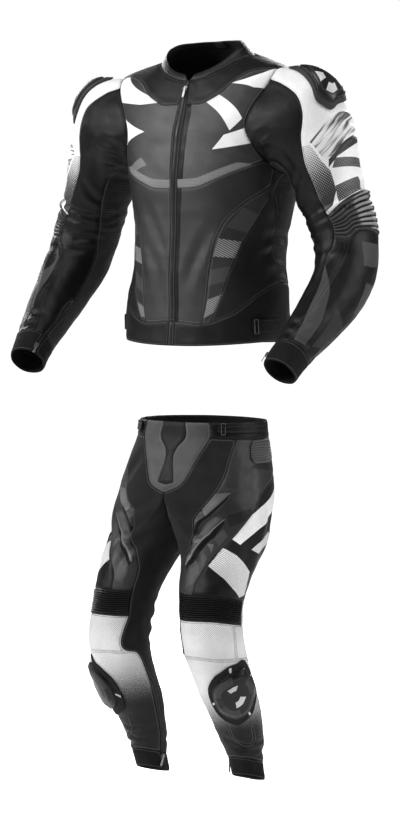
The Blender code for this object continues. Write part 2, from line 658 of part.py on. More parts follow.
def rib_relief(ribs):
    """Rounded ribs from the top seam of an accordion panel to its bottom seam."""
    def height(u, v):
        t = (v - ribs["top"](u)) / (ribs["bottom"](u) - ribs["top"](u))
        return ribs["height"] * np.sin(math.pi * ribs["count"] * np.clip(t, 0, 1)) ** 2
    return height


def line_points(patch, line, width):
    """Points along a ridge line and along both of its feet."""
    crest = patch.resample(patch.fine(np.array(line, float)), RIDGE_STEP)
    along = np.gradient(crest * patch.scale, axis=0)
    across = np.stack([-along[:, 1], along[:, 0]], -1) / np.linalg.norm(along, axis=1, keepdims=True)
    feet = across * width / patch.scale
    found = np.concatenate([crest, crest + feet, crest - feet])
    seams = patch.seam_points()
    return [tuple(point) for point in found
            if np.linalg.norm((seams - point) * patch.scale, axis=1).min() > RIDGE_CLEARANCE]


def line_relief(scale, lines, width, height):
    """Rounded ridges along the given lines, up to `width` to each side."""
    def relief(u, v):
        found = np.zeros(len(u))
        for line in lines:
            corners = np.array(line, float) * scale
            for a, b in zip(corners, corners[1:]):
                spot = np.stack([u, v], -1) * scale - a
                t = np.clip(spot @ (b - a) / ((b - a) @ (b - a)), 0, 1)
                away = np.linalg.norm(spot - t[:, None] * (b - a), axis=1)
                found = np.maximum(found, height * ease(1.15 - away / width))
        return found
    return relief


def chain_relief(u, v):
    """The closed teeth along the middle of a zip."""
    return np.full(len(u), CHAIN_HEIGHT)


SLEEVE_SCALE = np.array([math.radians(0.07), 1.0])
LEG_SCALE = np.array([math.radians(0.075), 1.0])
PLEATS = line_relief(SLEEVE_SCALE, SHOULDER_PLEATS, PLEAT_WIDTH, PLEAT_HEIGHT)
PADDED_RIDGES = line_relief(LEG_SCALE, THIGH_RIDGES, RIDGE_WIDTH, RIDGE_HEIGHT)


# --- jacket -----------------------------------------------------------------------------------
def neck_angles(patch):
    """Angles of the points that body and collar share, half way round the neck."""
    ring = np.linspace((ZIP_HALF_ANGLE, NECK_V), (180, NECK_V), 300)
    return patch.resample(ring)[:, 0]


def body_patch():
    patch = Patch(body, math.radians(0.165))
    angles = np.concatenate([[0], neck_angles(patch)])
    patch.edge(np.stack([angles, np.full(len(angles), NECK_V)], -1))
    patch.edge(patch.resample(np.linspace((ZIP_HALF_ANGLE, 0), (180, 0), 300)), False)
    patch.edge([(0, 0), (ZIP_HALF_ANGLE, 0)], False)
    patch.straight((0, 0), (0, NECK_V))
    patch.straight((180, 0), (180, NECK_V))
    loop = np.stack(armhole(np.linspace(0, -360, ARMHOLE_POINTS + 1)), -1)
    patch.edge(loop)
    patch.straight((ZIP_HALF_ANGLE, 0), (ZIP_HALF_ANGLE, NECK_V))
    for line in (HEM_BAND, UNDERBUST, YOKE_FRONT, YOKE_BACK, INSERT_INNER, INSERT_OUTER,
                 INSERT_END, SIDE_UPPER, SIDE_BACK, BACK_SIDE):
        patch.seam(line)
    patch.join_ends()
    patch.scatter((0, 180), (0, NECK_V), 65)
    patch.fill("front_zip", (0.8, 0.2), (0.8, 0.54), (0.8, 0.03))
    patch.fill("hem_band", (15, 0.025))
    patch.fill("belly", (15, 0.2))
    patch.fill("chest", (20, 0.44))
    patch.fill("yoke", (30, 0.556))
    patch.fill("side_insert", (34, 0.15))
    patch.fill("side_panel", (70, 0.2))
    patch.fill("side_stretch", (100, 0.25))
    patch.fill("back", (150, 0.3))
    return patch


def collar_patch():
    patch = Patch(collar, math.radians(0.10))
    patch.scale = np.array([math.radians(0.10), 0.04])
    angles = neck_angles(Patch(body, 1))
    patch.edge(np.stack([angles, np.zeros(len(angles))], -1))
    patch.edge(COLLAR_FRONT_EDGE)
    patch.edge(patch.resample(np.linspace(COLLAR_FRONT_EDGE[-1], (180, 1), 300)), False)
    patch.straight((180, 0), (180, 1))
    patch.extra += [(angle, 0.5) for angle in np.linspace(20, 168, 8)]
    patch.fill("collar", (90, 0.3))
    return patch


def sleeve_patch():
    patch = Patch(sleeve, math.radians(0.07), outward=False)
    turns = np.linspace(-180, 180, ARMHOLE_POINTS + 1)
    patch.edge(np.stack([turns, np.zeros(len(turns))], -1))
    for angle in (-180, 180):
        patch.straight((angle, 0), (angle, CUFF_TOP), True)
        patch.straight((angle, CUFF_TOP), (angle, SLEEVE_LENGTH), True)
    patch.straight((-180, SLEEVE_LENGTH), (180, SLEEVE_LENGTH))
    patch.straight((-180, CUFF_TOP), (-153, CUFF_TOP))
    patch.straight((-142, CUFF_TOP), (180, CUFF_TOP))
    for line in (SLEEVE_FRONT, ELBOW_TOP, ELBOW_BOTTOM, ELBOW_BACK, FOREARM_TOP, UNDER_FRONT,
                 UNDER_BACK, WRIST_ZIP_INNER, WRIST_ZIP_OUTER):
        patch.seam(line)
    patch.join_ends()
    patch.extra += rib_points(ELBOW_RIBS)
    for line in SHOULDER_PLEATS:
        patch.extra += line_points(patch, line, PLEAT_WIDTH)
    patch.extra += WRIST_CHAIN
    patch.scatter((-180, 180), (0, SLEEVE_LENGTH), -60)
    patch.fill("sleeve_front", (-110, 0.25))
    patch.fill("sleeve_outer", (30, 0.12))
    patch.fill("elbow_ribs", (20, 0.36))
    patch.fill("forearm", (40, 0.6))
    patch.fill("sleeve_under", (-170, 0.2), (165, 0.3))
    patch.fill("wrist_zip", (-160, 0.65), (-141, 0.74))
    patch.fill("cuff", (0, 0.75), (-170, 0.75))
    return patch


# --- trousers ---------------------------------------------------------------------------------
def rise_edge(patch, side):
    """The crotch seam on one side, front (-1) or back (1), from the waist to the inseam."""
    down = patch.resample(np.linspace((90, WAIST_Z), (90, RISE_TOP_Z), 200) * [side, 1])
    turn = np.linspace(90, 180, 400)
    under = np.stack([turn, smooth(RISE_TABLE["phi"], RISE_TABLE["z"], turn)], -1)
    under = patch.resample(under * [side, 1])
    under[:, 1] = smooth(RISE_TABLE["phi"], RISE_TABLE["z"], under[:, 0])
    return np.concatenate([down, under[1:]])


def leg_patch():
    patch = Patch(leg, math.radians(0.075))
    patch.edge(rise_edge(patch, -1))
    patch.edge(rise_edge(patch, 1))
    for angle in (-180, 180):
        patch.straight((angle, CROTCH_Z), (angle, ANKLE_CUFF_Z), True)
        patch.straight((angle, ANKLE_CUFF_Z), (angle, ANKLE_Z), True)
    patch.straight((-90, WAIST_Z), (90, WAIST_Z))
    patch.straight((-180, ANKLE_Z), (180, ANKLE_Z))
    patch.straight((-180, ANKLE_CUFF_Z), (-177, ANKLE_CUFF_Z))
    patch.straight((-169, ANKLE_CUFF_Z), (180, ANKLE_CUFF_Z))
    for line in (WAISTBAND, FLY, PLACKET, THIGH_INNER, SEAT_SIDE, SIDE_PANEL_FRONT, KNEE_TOP,
                 KNEE_END, KNEE_INNER, KNEE_BOTTOM, SHIN_INNER, CALF_ZIP, CALF_ZIP_CUFF, SHIN_BACK,
                 BACK_OF_KNEE):
        patch.seam(line)
    patch.join_ends()
    patch.extra += rib_points(KNEE_RIBS)
    for line in THIGH_RIDGES:
        patch.extra += line_points(patch, line, RIDGE_WIDTH)
    patch.extra += CALF_CHAIN
    patch.scatter((-180, 180), (ANKLE_Z, WAIST_Z), 0)
    patch.fill("waistband", (0, -0.77))
    patch.fill("fly", (-68, -0.79))
    patch.fill("placket", (-86, -0.77))
    patch.fill("inner_leg", (-60, -0.86), (-150, -1.1), (170, -1.2))
    patch.fill("thigh", (-30, -0.9))
    patch.fill("outer_leg", (0, -1.0))
    patch.fill("seat", (75, -0.9))
    patch.fill("knee_ribs", (-60, -1.13))
    patch.fill("shin", (-60, -1.3))
    patch.fill("calf_zip", (-173, -1.4))
    patch.fill("ankle_cuff", (0, -1.5), (-178.5, -1.5))
    return patch


# --- hard pieces on the cloth -------------------------------------------------------------------
def frame_at(surface, u, v, outward=True):
    """Point, outward normal and the direction of growing u on a skin."""
    u, v = np.asarray(u, float), np.asarray(v, float)
    along_u = surface(u + 0.5, v) - surface(u - 0.5, v)
    along_v = surface(u, v + 0.001) - surface(u, v - 0.001)
    normal = np.cross(along_u, along_v) * (1 if outward else -1)
    normal /= np.linalg.norm(normal, axis=-1, keepdims=True)
    along_u /= np.linalg.norm(along_u, axis=-1, keepdims=True)
    return surface(u, v), normal, along_u


def rounded(outline, count):
    """A closed smooth curve through the outline's points."""
    outline = np.array(outline, float)
    at = np.linspace(0, len(outline), count, endpoint=False)
    knots = np.arange(len(outline))
    return np.stack([periodic(knots, outline[:, k], at, len(outline)) for k in (0, 1)], -1)


def raised(surface, outline, centre, rings, gap, outward=True):
    """A closed cap over a skin: rings of (share of the outline, height), then the centre height."""
    outline, centre = rounded(outline, OUTLINE_POINTS), np.array(centre, float)
    count = len(outline)
    levels = [(share, gap + rise) for share, rise in UNDERSIDE]
    levels += [(share, gap + height) for share, height in rings[:-1]]
    points = []
    for share, height in levels:
        ring = centre + (outline - centre) * share
        place, normal, _ = frame_at(surface, ring[:, 0], ring[:, 1], outward)
        points.append(place + normal * height)
    place, normal, _ = frame_at(surface, *centre, outward)
    points.append([place + normal * (gap + UNDERSIDE[0][1]), place + normal * (gap + rings[-1])])
    bottom, top = len(levels) * count, len(levels) * count + 1
    faces = []
    for i in range(count):
        j = (i + 1) % count
        faces.append([bottom, j, i])
        last = (len(levels) - 1) * count
        faces.append([top, last + i, last + j])
        for row in range(len(levels) - 1):
            a, b = row * count, (row + 1) * count
            faces += [[a + i, a + j, b + j], [a + i, b + j, b + i]]
    return np.concatenate(points), faces


def plate_faces(count):
    """Faces of a plate whose front ring comes first and back ring second."""
    faces = [[0, i, i + 1] for i in range(1, count - 1)]
    faces += [[count, count + i + 1, count + i] for i in range(1, count - 1)]
    for i in range(count):
        j = (i + 1) % count
        faces += [[i, count + i, count + j], [i, count + j, j]]
    return faces


# --- materials and objects ----------------------------------------------------------------------
FINISH_COLUMNS = ("color", "roughness", "metallic")
FINISHES = {
    "black_leather": ((0.018, 0.018, 0.020, 1), 0.45, 0.0),
    "grey_leather": ((0.055, 0.056, 0.060, 1), 0.55, 0.0),
    "white_leather": ((0.800, 0.800, 0.810, 1), 0.45, 0.0),
    "stretch_cloth": ((0.014, 0.014, 0.016, 1), 0.85, 0.0),
    "neoprene": ((0.012, 0.012, 0.013, 1), 0.80, 0.0),
    "zip_tape": ((0.020, 0.020, 0.021, 1), 0.70, 0.0),
    "cup_plastic": ((0.100, 0.105, 0.115, 1), 0.35, 0.0),
    "slider_plastic": ((0.020, 0.020, 0.022, 1), 0.30, 0.0),
    "zip_metal": ((0.620, 0.620, 0.630, 1), 0.30, 1.0),
}


def material(name, finish):
    values = dict(zip(FINISH_COLUMNS, FINISHES[finish]))
    made = bpy.data.materials.new(name)
    made.use_nodes = True
    shader = made.node_tree.nodes["Principled BSDF"]
    shader.inputs["Base Color"].default_value = values["color"]
    shader.inputs["Roughness"].default_value = values["roughness"]
    shader.inputs["Metallic"].default_value = values["metallic"]
    return made


def make_object(name, points, faces, finish, origin=(0, 0, 0)):
    """A solid whose points are given about its origin."""
    mesh = bpy.data.meshes.new(name)
    mesh.from_pydata([tuple(point) for point in points], [], faces)
    mesh.shade_smooth()
    mesh.set_sharp_from_angle(angle=math.radians(45))
    mesh.materials.append(material(name + "_finish", finish))
    made = bpy.data.objects.new(name, mesh)
    made.location = origin
    bpy.context.scene.collection.objects.link(made)
    return made


def mirrored(points, faces):
    return points * [-1, 1, 1], [face[::-1] for face in faces]


def make_pair(name, points, faces, finish):
    """A hard piece on the left side and its mirror image on the right."""
    make_object(name + "_left", lifted(points), faces, finish)
    other, turned = mirrored(points, faces)
    make_object(name + "_right", lifted(other), turned, finish)


# surface panels: name, then finish, wall and relief
PANELS = {
    "collar": ("stretch_cloth", COLLAR_WALL, None),
    "front_zip": ("zip_tape", LEATHER_WALL, chain_relief),
    "yoke": ("grey_leather", LEATHER_WALL, None),
    "chest": ("grey_leather", LEATHER_WALL, None),
    "belly": ("grey_leather", LEATHER_WALL, None),
    "side_insert": ("grey_leather", LEATHER_WALL, None),
    "side_panel": ("black_leather", LEATHER_WALL, None),
    "side_stretch": ("stretch_cloth", LEATHER_WALL, None),
    "back": ("black_leather", LEATHER_WALL, None),
    "hem_band": ("black_leather", LEATHER_WALL, None),
    "sleeve_front": ("black_leather", LEATHER_WALL, None),
    "sleeve_outer": ("white_leather", LEATHER_WALL, PLEATS),
    "elbow_ribs": ("black_leather", LEATHER_WALL, rib_relief(ELBOW_RIBS)),
    "forearm": ("black_leather", LEATHER_WALL, None),
    "sleeve_under": ("stretch_cloth", LEATHER_WALL, None),
    "cuff": ("neoprene", CUFF_WALL, None),
    "wrist_zip": ("zip_tape", LEATHER_WALL, chain_relief),
    "waistband": ("black_leather", LEATHER_WALL, None),
    "fly": ("grey_leather", LEATHER_WALL, None),
    "placket": ("black_leather", LEATHER_WALL, None),
    "inner_leg": ("stretch_cloth", LEATHER_WALL, None),
    "thigh": ("grey_leather", LEATHER_WALL, PADDED_RIDGES),
    "outer_leg": ("black_leather", LEATHER_WALL, None),
    "seat": ("black_leather", LEATHER_WALL, None),
    "knee_ribs": ("black_leather", LEATHER_WALL, rib_relief(KNEE_RIBS)),
    "shin": ("white_leather", LEATHER_WALL, None),
    "calf_zip": ("zip_tape", LEATHER_WALL, chain_relief),
    "ankle_cuff": ("neoprene", CUFF_WALL, None),
}


def make_panels():
    """The cloth: both garments' skins, cut into panels."""
    skin = Skin()
    for patch in (body_patch(), collar_patch(), sleeve_patch(), leg_patch()):
        skin.add(patch)
    skin.finish()
    for label in skin.faces:
        name = label.removesuffix("_left").removesuffix("_right")
        finish, wall, relief = PANELS[name]
        points, faces = panel(skin, label, wall, relief)
        make_object(label, lifted(points), faces, finish)


# --- hard pieces --------------------------------------------------------------------------------
HARD_GAP = 0.0016          # between cloth and the piece on it
OUTLINE_POINTS = 22
UNDERSIDE = ((0.35, 0.0040), (0.70, 0.0030), (1.00, 0.0))  # share of the outline, rise
# Outline of the left shoulder cup on the sleeve, then its rings from the edge to the middle.
CUP_OUTLINE = ((0, 0.015), (-10, 0.042), (-20, 0.084), (-28, 0.123), (-18, 0.159), (-4, 0.157),
               (14, 0.150), (28, 0.132), (34, 0.096), (26, 0.056), (12, 0.026))
CUP_CENTRE = (2, 0.095)
CUP_RINGS = ((0.99, 0.0030), (0.86, 0.0055), (0.62, 0.0100), (0.30, 0.0130), 0.0135)
SLIDER_OUTLINE = ((4, -1.2476), (-16, -1.2580), (-36, -1.2686), (-55, -1.2850), (-72, -1.2986),
                  (-92, -1.3256), (-98, -1.3616), (-90, -1.3886), (-70, -1.4006), (-50, -1.4006),
                  (-16, -1.3736), (4, -1.3376), (18, -1.3130), (20, -1.2896), (14, -1.2650))
SLIDER_CENTRE = (-44, -1.330)
SLIDER_RINGS = ((0.99, 0.0030), (0.80, 0.0038), (0.77, 0.0110), (0.62, 0.0145), (0.30, 0.0165), 0.0170)
STRAP_ENDS = (-52, 16)     # angles
STRAP_Z = (-0.7550, -0.7740)
STRAP_HEIGHT = 0.0022
STRAP_COLUMNS = 7

# Pull tabs: angle and height of the hinge on the skin, and how far it stands off.
TAB_LENGTH = 0.024
TAB_WIDTH = 0.0055
TAB_THICKNESS = 0.0016
TAB_TOP = 0.0022           # the hinge lies this far below the tab's top edge
TAB_STAND_OFF = 0.0042     # from the skin to the hinge
FRONT_TAB = (0.0, 0.548)
WRIST_TAB = (-138, 0.745)
CALF_TAB = (-173, -1.487)


def strap_points():
    """A flat strap along the waistband, as a grid of four rows round its section."""
    angles = np.linspace(*STRAP_ENDS, STRAP_COLUMNS)
    top, bottom = STRAP_Z
    rows = []
    for z, height in ((top, 0), (bottom, 0), (bottom, STRAP_HEIGHT), (top, STRAP_HEIGHT)):
        place, normal, _ = frame_at(leg, angles, np.full(len(angles), z))
        rows.append(place + normal * (HARD_GAP + height))
    points = np.concatenate(rows)
    faces = []
    n = STRAP_COLUMNS
    for row in range(4):
        a, b = row * n, (row + 1) % 4 * n
        for i in range(n - 1):
            faces += [[a + i, a + i + 1, b + i + 1], [a + i, b + i + 1, b + i]]
    faces += [[0, n, 2 * n], [0, 2 * n, 3 * n]]
    last = n - 1
    faces += [[last, 3 * n + last, 2 * n + last], [last, 2 * n + last, n + last]]
    return points, faces


def tab(surface, spot, outward=True):
    """A pull tab that hangs down the skin: points about its hinge, faces, hinge and axis."""
    place, normal, along_u = frame_at(surface, *spot, outward)
    down = np.cross(normal, along_u)
    down *= -1 if down[2] > 0 else 1
    side = np.cross(down, normal)
    turn = np.radians(np.linspace(0, 180, 7))
    half = TAB_WIDTH / 2
    low = [(half * math.cos(a), TAB_LENGTH - TAB_TOP - half + half * math.sin(a)) for a in turn]
    outline = [(half * 0.7, -TAB_TOP), *low, (-half * 0.7, -TAB_TOP)]
    rows = []
    for out in (TAB_THICKNESS / 2, -TAB_THICKNESS / 2):
        rows += [side * x + down * d + normal * out for x, d in outline]
    return np.array(rows), plate_faces(len(outline)), place + normal * TAB_STAND_OFF


def make_hard_pieces():
    for name, surface, outline, centre, rings, finish in (
            ("shoulder_cup", sleeve, CUP_OUTLINE, CUP_CENTRE, CUP_RINGS, "cup_plastic"),
            ("knee_slider", leg, SLIDER_OUTLINE, SLIDER_CENTRE, SLIDER_RINGS, "slider_plastic")):
        points, faces = raised(surface, outline, centre, rings, HARD_GAP, surface is leg)
        make_pair(name, points, faces, finish)
    points, faces = strap_points()
    make_pair("waist_strap", points, faces, "black_leather")


def make_tabs():
    """Each tab turns on its own hinge, so its object's origin lies there."""
    points, faces, hinge = tab(body, FRONT_TAB)
    make_object("front_zip_tab", points, faces, "zip_metal", lifted(hinge))
    for name, surface, spot in (("wrist_tab", sleeve, WRIST_TAB), ("calf_tab", leg, CALF_TAB)):
        points, faces, hinge = tab(surface, spot, surface is leg)
        make_object(name + "_left", points, faces, "zip_metal", lifted(hinge))
        points, faces = mirrored(points, faces)
        make_object(name + "_right", points, faces, "zip_metal", lifted(hinge * [-1, 1, 1]))


for old in list(bpy.data.objects):
    bpy.data.objects.remove(old)
make_panels()
make_hard_pieces()
make_tabs()
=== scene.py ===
"""The looks of a motorcycle race suit: jacket above trousers, filled out with no wearer.

Metres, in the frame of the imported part: the front faces -Y, the wearer's left is +X, +Z is up.
Each garment is a smooth skin over tables of sections.  Seams and prints are drawn on the skin in
its own coordinates (angle, height), and every panel is a thin closed shell of cloth over its solid.
"""

import itertools
import math

import bpy
import numpy as np
from mathutils import Matrix, Vector
from mathutils.geometry import delaunay_2d_cdt
from mathutils.kdtree import KDTree


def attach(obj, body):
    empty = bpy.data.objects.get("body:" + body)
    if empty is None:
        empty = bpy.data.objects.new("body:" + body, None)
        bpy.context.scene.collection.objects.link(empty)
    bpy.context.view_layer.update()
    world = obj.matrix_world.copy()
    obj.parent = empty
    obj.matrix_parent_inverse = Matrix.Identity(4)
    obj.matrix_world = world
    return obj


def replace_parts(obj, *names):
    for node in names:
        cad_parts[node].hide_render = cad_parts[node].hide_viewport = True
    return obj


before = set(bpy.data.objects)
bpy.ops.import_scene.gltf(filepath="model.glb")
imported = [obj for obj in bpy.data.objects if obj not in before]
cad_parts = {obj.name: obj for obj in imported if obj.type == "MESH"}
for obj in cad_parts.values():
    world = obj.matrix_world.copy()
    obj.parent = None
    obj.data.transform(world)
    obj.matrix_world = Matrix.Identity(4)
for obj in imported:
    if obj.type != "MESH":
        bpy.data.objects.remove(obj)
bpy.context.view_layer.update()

# --- driving sizes ---------------------------------------------------------------------------
LEATHER_WALL = 0.0022      # thickness of a leather panel
CUFF_WALL = 0.0026         # neoprene at wrists and ankles
COLLAR_WALL = 0.0030       # padded collar
HALF_GAP = 0.00015         # each panel stops this far from its seam line
STEP = 0.0046              # spacing of the points of a shell, everywhere but on raised lines
ARMHOLE_POINTS = 120       # points round an armhole, shared by body and sleeve
SHOULDER_LIFT = 0.055      # the left shoulder is carried a little higher: rise per metre of x
LIFT_FROM_Z = -0.45        # the lift starts at this height
LIFT_TO_Z = -0.10          # and is whole at this height
WELD = 3e-5                # points of neighbouring skins closer than this are one
SHARPEST_CORNER = 0.8      # limits how far a pointed corner of a panel draws back
SHARP_CLOTH = 60           # edges of cloth that turn by more degrees than this are sharp
SHARP_BLOCK = 40           # and those of straps, teeth and wires
SHARP_CAP = 34             # and those of moulded caps

HEM_FRONT_Z = -0.587
ZIP_HALF_ANGLE = 1.7       # half width of the front zip, in degrees round the body
CAP_LENGTH = 0.24          # outer length of a sleeve's cap, from armhole to upper arm
CROTCH_Z = -0.985
RISE_TOP_Z = -0.900        # above this height the crotch seam runs straight up
PLAIN_LEG_Z = -1.045       # below this height a leg is a plain tube
WAIST_Z = -0.750
ANKLE_Z = -1.5176
ANKLE_CUFF_Z = -1.478      # top of the ankle cuff

# Sections of the jacket's body.  v is the height above the hem at the front.
BODY_COLUMNS = ("v", "side_z", "back_z", "half_width", "front_y", "back_y", "widest_y", "power")
BODY = (
    (0.000, -0.577, -0.592, 0.188, -0.144, 0.137, -0.002, 2.20),
    (0.047, -0.535, -0.545, 0.187, -0.141, 0.137, -0.002, 2.20),
    (0.100, -0.487, -0.492, 0.181, -0.139, 0.136, 0.000, 2.25),
    (0.167, -0.420, -0.422, 0.167, -0.137, 0.140, 0.003, 2.30),
    (0.210, -0.377, -0.377, 0.165, -0.135, 0.150, 0.007, 2.30),
    (0.270, -0.317, -0.312, 0.170, -0.133, 0.166, 0.015, 2.35),
    (0.320, -0.267, -0.258, 0.177, -0.133, 0.176, 0.018, 2.40),
    (0.367, -0.220, -0.202, 0.185, -0.132, 0.180, 0.018, 2.45),
    (0.443, -0.135, -0.112, 0.196, -0.122, 0.170, 0.012, 2.50),
    (0.493, -0.055, -0.045, 0.213, -0.106, 0.145, -0.012, 2.40),
    (0.523, -0.010, -0.005, 0.208, -0.096, 0.112, -0.022, 2.20),
    (0.546, 0.010, 0.022, 0.160, -0.087, 0.088, -0.014, 2.10),
    (0.566, 0.024, 0.045, 0.112, -0.078, 0.068, -0.004, 2.00),
)
NECK_V = BODY[-1][0]

# The left armhole on the body.  phi runs round the sleeve: 0 top, -90 front, -180 underarm.
ARMHOLE_COLUMNS = ("phi", "theta", "v")
ARMHOLE = (
    (0, 81, 0.526),
    (-30, 63, 0.508),
    (-60, 49, 0.486),
    (-90, 46, 0.456),
    (-120, 54, 0.424),
    (-150, 69, 0.388),
    (-180, 92, 0.362),
    (-210, 116, 0.384),
    (-240, 130, 0.420),
    (-270, 134, 0.456),
    (-300, 127, 0.488),
    (-330, 106, 0.512),
)

# The left sleeve below its cap: centre of each ring and its half sizes.
ARM_COLUMNS = ("x", "y", "z", "lateral", "depth")
ARM = (
    (0.288, 0.010, -0.210, 0.075, 0.080),
    (0.304, 0.013, -0.260, 0.071, 0.077),
    (0.332, 0.022, -0.335, 0.067, 0.074),
    (0.350, 0.008, -0.405, 0.065, 0.072),
    (0.355, -0.034, -0.463, 0.059, 0.065),
    (0.347, -0.119, -0.541, 0.050, 0.051),
    (0.336, -0.177, -0.590, 0.042, 0.041),
    (0.3296, -0.2144, -0.627, 0.0385, 0.0385),
)
ARM_POWER = 2.15
CUFF_LENGTH = 0.052

# The collar's top ring, and how its edge dips to the front.
COLLAR = {"half_width": 0.0926, "front_y": -0.0715, "back_y": 0.034, "widest_y": -0.0188}
COLLAR_BACK_Z = 0.062
COLLAR_DIP = 0.070
COLLAR_DIP_POWER = 2.2

# Sections of the trousers' hips, both halves together.
HIP_COLUMNS = ("z", "half_width", "front_y", "back_y", "widest_y", "power")
HIP = (
    (-0.750, 0.1446, -0.131, 0.086, -0.020, 2.1),
    (-0.790, 0.150, -0.138, 0.090, -0.025, 2.2),
    (-0.840, 0.161, -0.152, 0.094, -0.034, 2.3),
    (-0.890, 0.173, -0.166, 0.090, -0.050, 2.3),
    (-0.930, 0.181, -0.172, 0.075, -0.065, 2.3),
    (-0.985, 0.186, -0.176, 0.045, -0.080, 2.3),
    (-1.045, 0.186, -0.180, 0.000, -0.095, 2.3),
)

# The left leg: centre of each ring, its half sizes and the slope of its plane.
LEG_COLUMNS = ("z", "x", "y", "lateral", "depth", "slope")
LEG = (
    (-0.985, 0.096, -0.070, 0.092, 0.105, 0.0),
    (-1.0245, 0.101, -0.092, 0.086, 0.096, 0.1),
    (-1.0915, 0.109, -0.133, 0.074, 0.080, 0.2),
    (-1.144, 0.114, -0.154, 0.066, 0.070, 0.1),
    (-1.200, 0.122, -0.161, 0.065, 0.068, 0.0),
    (-1.232, 0.125, -0.158, 0.065, 0.068, -0.1),
    (-1.272, 0.1255, -0.141, 0.064, 0.068, -0.2),
    (-1.330, 0.127, -0.111, 0.063, 0.065, -0.25),
    (-1.385, 0.127, -0.082, 0.055, 0.056, -0.25),
    (-1.434, 0.127, -0.059, 0.047, 0.047, -0.25),
    (-1.478, 0.1275, -0.045, 0.037, 0.038, -0.25),
    (-1.5176, 0.1265, -0.032, 0.0345, 0.035, -0.25),
)
LEG_POWER = 2.1
THIGH_GAP = 0.0005         # each inner thigh stays this far from the middle
THIGH_SPREAD = 0.10        # and moves away by this much per metre below the crotch

# The crotch seam on the left half: height at each angle, and where hips turn into legs.
RISE_COLUMNS = ("phi", "z")
RISE_BACK = ((60, -0.945), (90, -0.900), (105, -0.942), (125, -0.968), (150, -0.980), (180, -0.985))
RISE = tuple((-phi, z) for phi, z in reversed(RISE_BACK)) + ((0, -0.955),) + RISE_BACK

# --- seams: lists of (angle, height) on a skin, left half -------------------------------------
HEM_BAND = ((0, 0.052), (ZIP_HALF_ANGLE, 0.052), (22, 0.048), (43, 0.068), (68, 0.110),
            (100, 0.134), (112, 0.130), (140, 0.115), (180, 0.108))
UNDERBUST = ((ZIP_HALF_ANGLE, 0.336), (15, 0.338), (30, 0.356), (46, 0.372), (69, 0.388))
YOKE_FRONT = ((ZIP_HALF_ANGLE, 0.514), (12, 0.513), (20, 0.521), (35, 0.536), (58, 0.540),
              (81, 0.526))
YOKE_BACK = ((106, 0.512), (130, 0.503), (155, 0.496), (180, 0.493))
INSERT_INNER = ((21, 0.048), (28, 0.164), (34, 0.238), (38, 0.262), (51, 0.296), (78, 0.335))
INSERT_OUTER = ((27, 0.052), (41, 0.140), (58, 0.226), (78, 0.312))
INSERT_END = ((78, 0.335), (78, 0.312))
SIDE_UPPER = ((78, 0.335), (80, 0.376))
SIDE_BACK = ((92, 0.362), (84, 0.332), (89, 0.268), (88, 0.204), (95, 0.133))
BACK_SIDE = ((116, 0.384), (111, 0.320), (108, 0.220), (112, 0.130))

SLEEVE_FRONT = ((-22, 0), (-30, 0.035), (-38, 0.080), (-52, 0.130), (-72, 0.175), (-84, 0.230),
                (-80, 0.290), (-74, 0.345), (-78, 0.415), (-96, 0.470), (-105, 0.600), (-112, 0.717))
ELBOW_TOP = ((-74, 0.345), (-40, 0.330), (0, 0.325), (62, 0.325))
ELBOW_BOTTOM = ((-78, 0.415), (-56, 0.424), (-34, 0.405), (20, 0.400), (62, 0.400))
ELBOW_BACK = ((62, 0.325), (62, 0.400))
FOREARM_TOP = ((62, 0.400), (100, 0.410), (135, 0.400))
UNDER_FRONT = ((-155, 0), (-138, 0.200), (-134, 0.290), (-146, 0.380), (-166, 0.460), (-174, 0.520),
               (-176, 0.585))
UNDER_BACK = ((150, 0), (140, 0.200), (135, 0.400), (140, 0.520), (150, 0.717))
WRIST_ZIP_INNER = ((-176, 0.585), (-163, 0.678), (-153, 0.717), (-143, 0.769))
WRIST_ZIP_OUTER = ((-176, 0.585), (-166, 0.592), (-152, 0.678), (-142, 0.717), (-132, 0.769))

WAISTBAND = ((-57, -0.783), (0, -0.788), (90, -0.785))
FLY = ((-57, -0.750), (-57, -0.783), (-60, -0.795), (-69, -0.830), (-75, -0.864), (-80, -0.884),
       (-90, -0.900))
PLACKET = ((-80, -0.750), (-80, -0.786), (-85, -0.802), (-85, -0.882))
THIGH_INNER = ((-30, -0.785), (-37, -0.825), (-44, -0.872), (-53, -0.905), (-65, -0.940),
               (-75, -0.972), (-88, -1.000), (-106, -1.022), (-122, -1.045), (-129, -1.095))
SIDE_PANEL_FRONT = ((41, -0.860), (25, -0.868), (8, -0.885), (-12, -0.942), (-40, -0.996),
                    (-72, -1.034), (-86, -1.056), (-92, -1.0948))
SEAT_SIDE = ((50, -0.786), (44, -0.830), (41, -0.860), (46, -0.950), (58, -1.020), (62, -1.130))
KNEE_TOP = ((-129, -1.095), (-92, -1.0948), (-72, -1.095), (-38, -1.104), (0, -1.122), (18, -1.130),
            (62, -1.130))
KNEE_END = ((18, -1.130), (18, -1.178))
KNEE_BOTTOM = ((-138, -1.163), (-114, -1.161), (-52, -1.161), (-14, -1.170), (18, -1.178))
KNEE_INNER = ((-129, -1.095), (-138, -1.163))
SHIN_INNER = ((-138, -1.163), (-136, -1.2476), (-160, -1.252), (-168, -1.290), (-169, -1.370),
              (-169, -1.478))
CALF_ZIP = ((-168, -1.290), (-174, -1.305), (-177, -1.370), (-177, -1.478), (-177, -1.5176))
CALF_ZIP_CUFF = ((-169, -1.478), (-169, -1.5176))
SHIN_BACK = ((62, -1.130), (66, -1.200), (72, -1.300), (76, -1.478))
BACK_OF_KNEE = ((62, -1.130), (105, -1.150), (140, -1.120), (152, -1.060), (150, -0.980))
COLLAR_FRONT_EDGE = ((ZIP_HALF_ANGLE, 0), (3.5, 0.40), (6.0, 0.78), (9.0, 0.95), (15.0, 1))

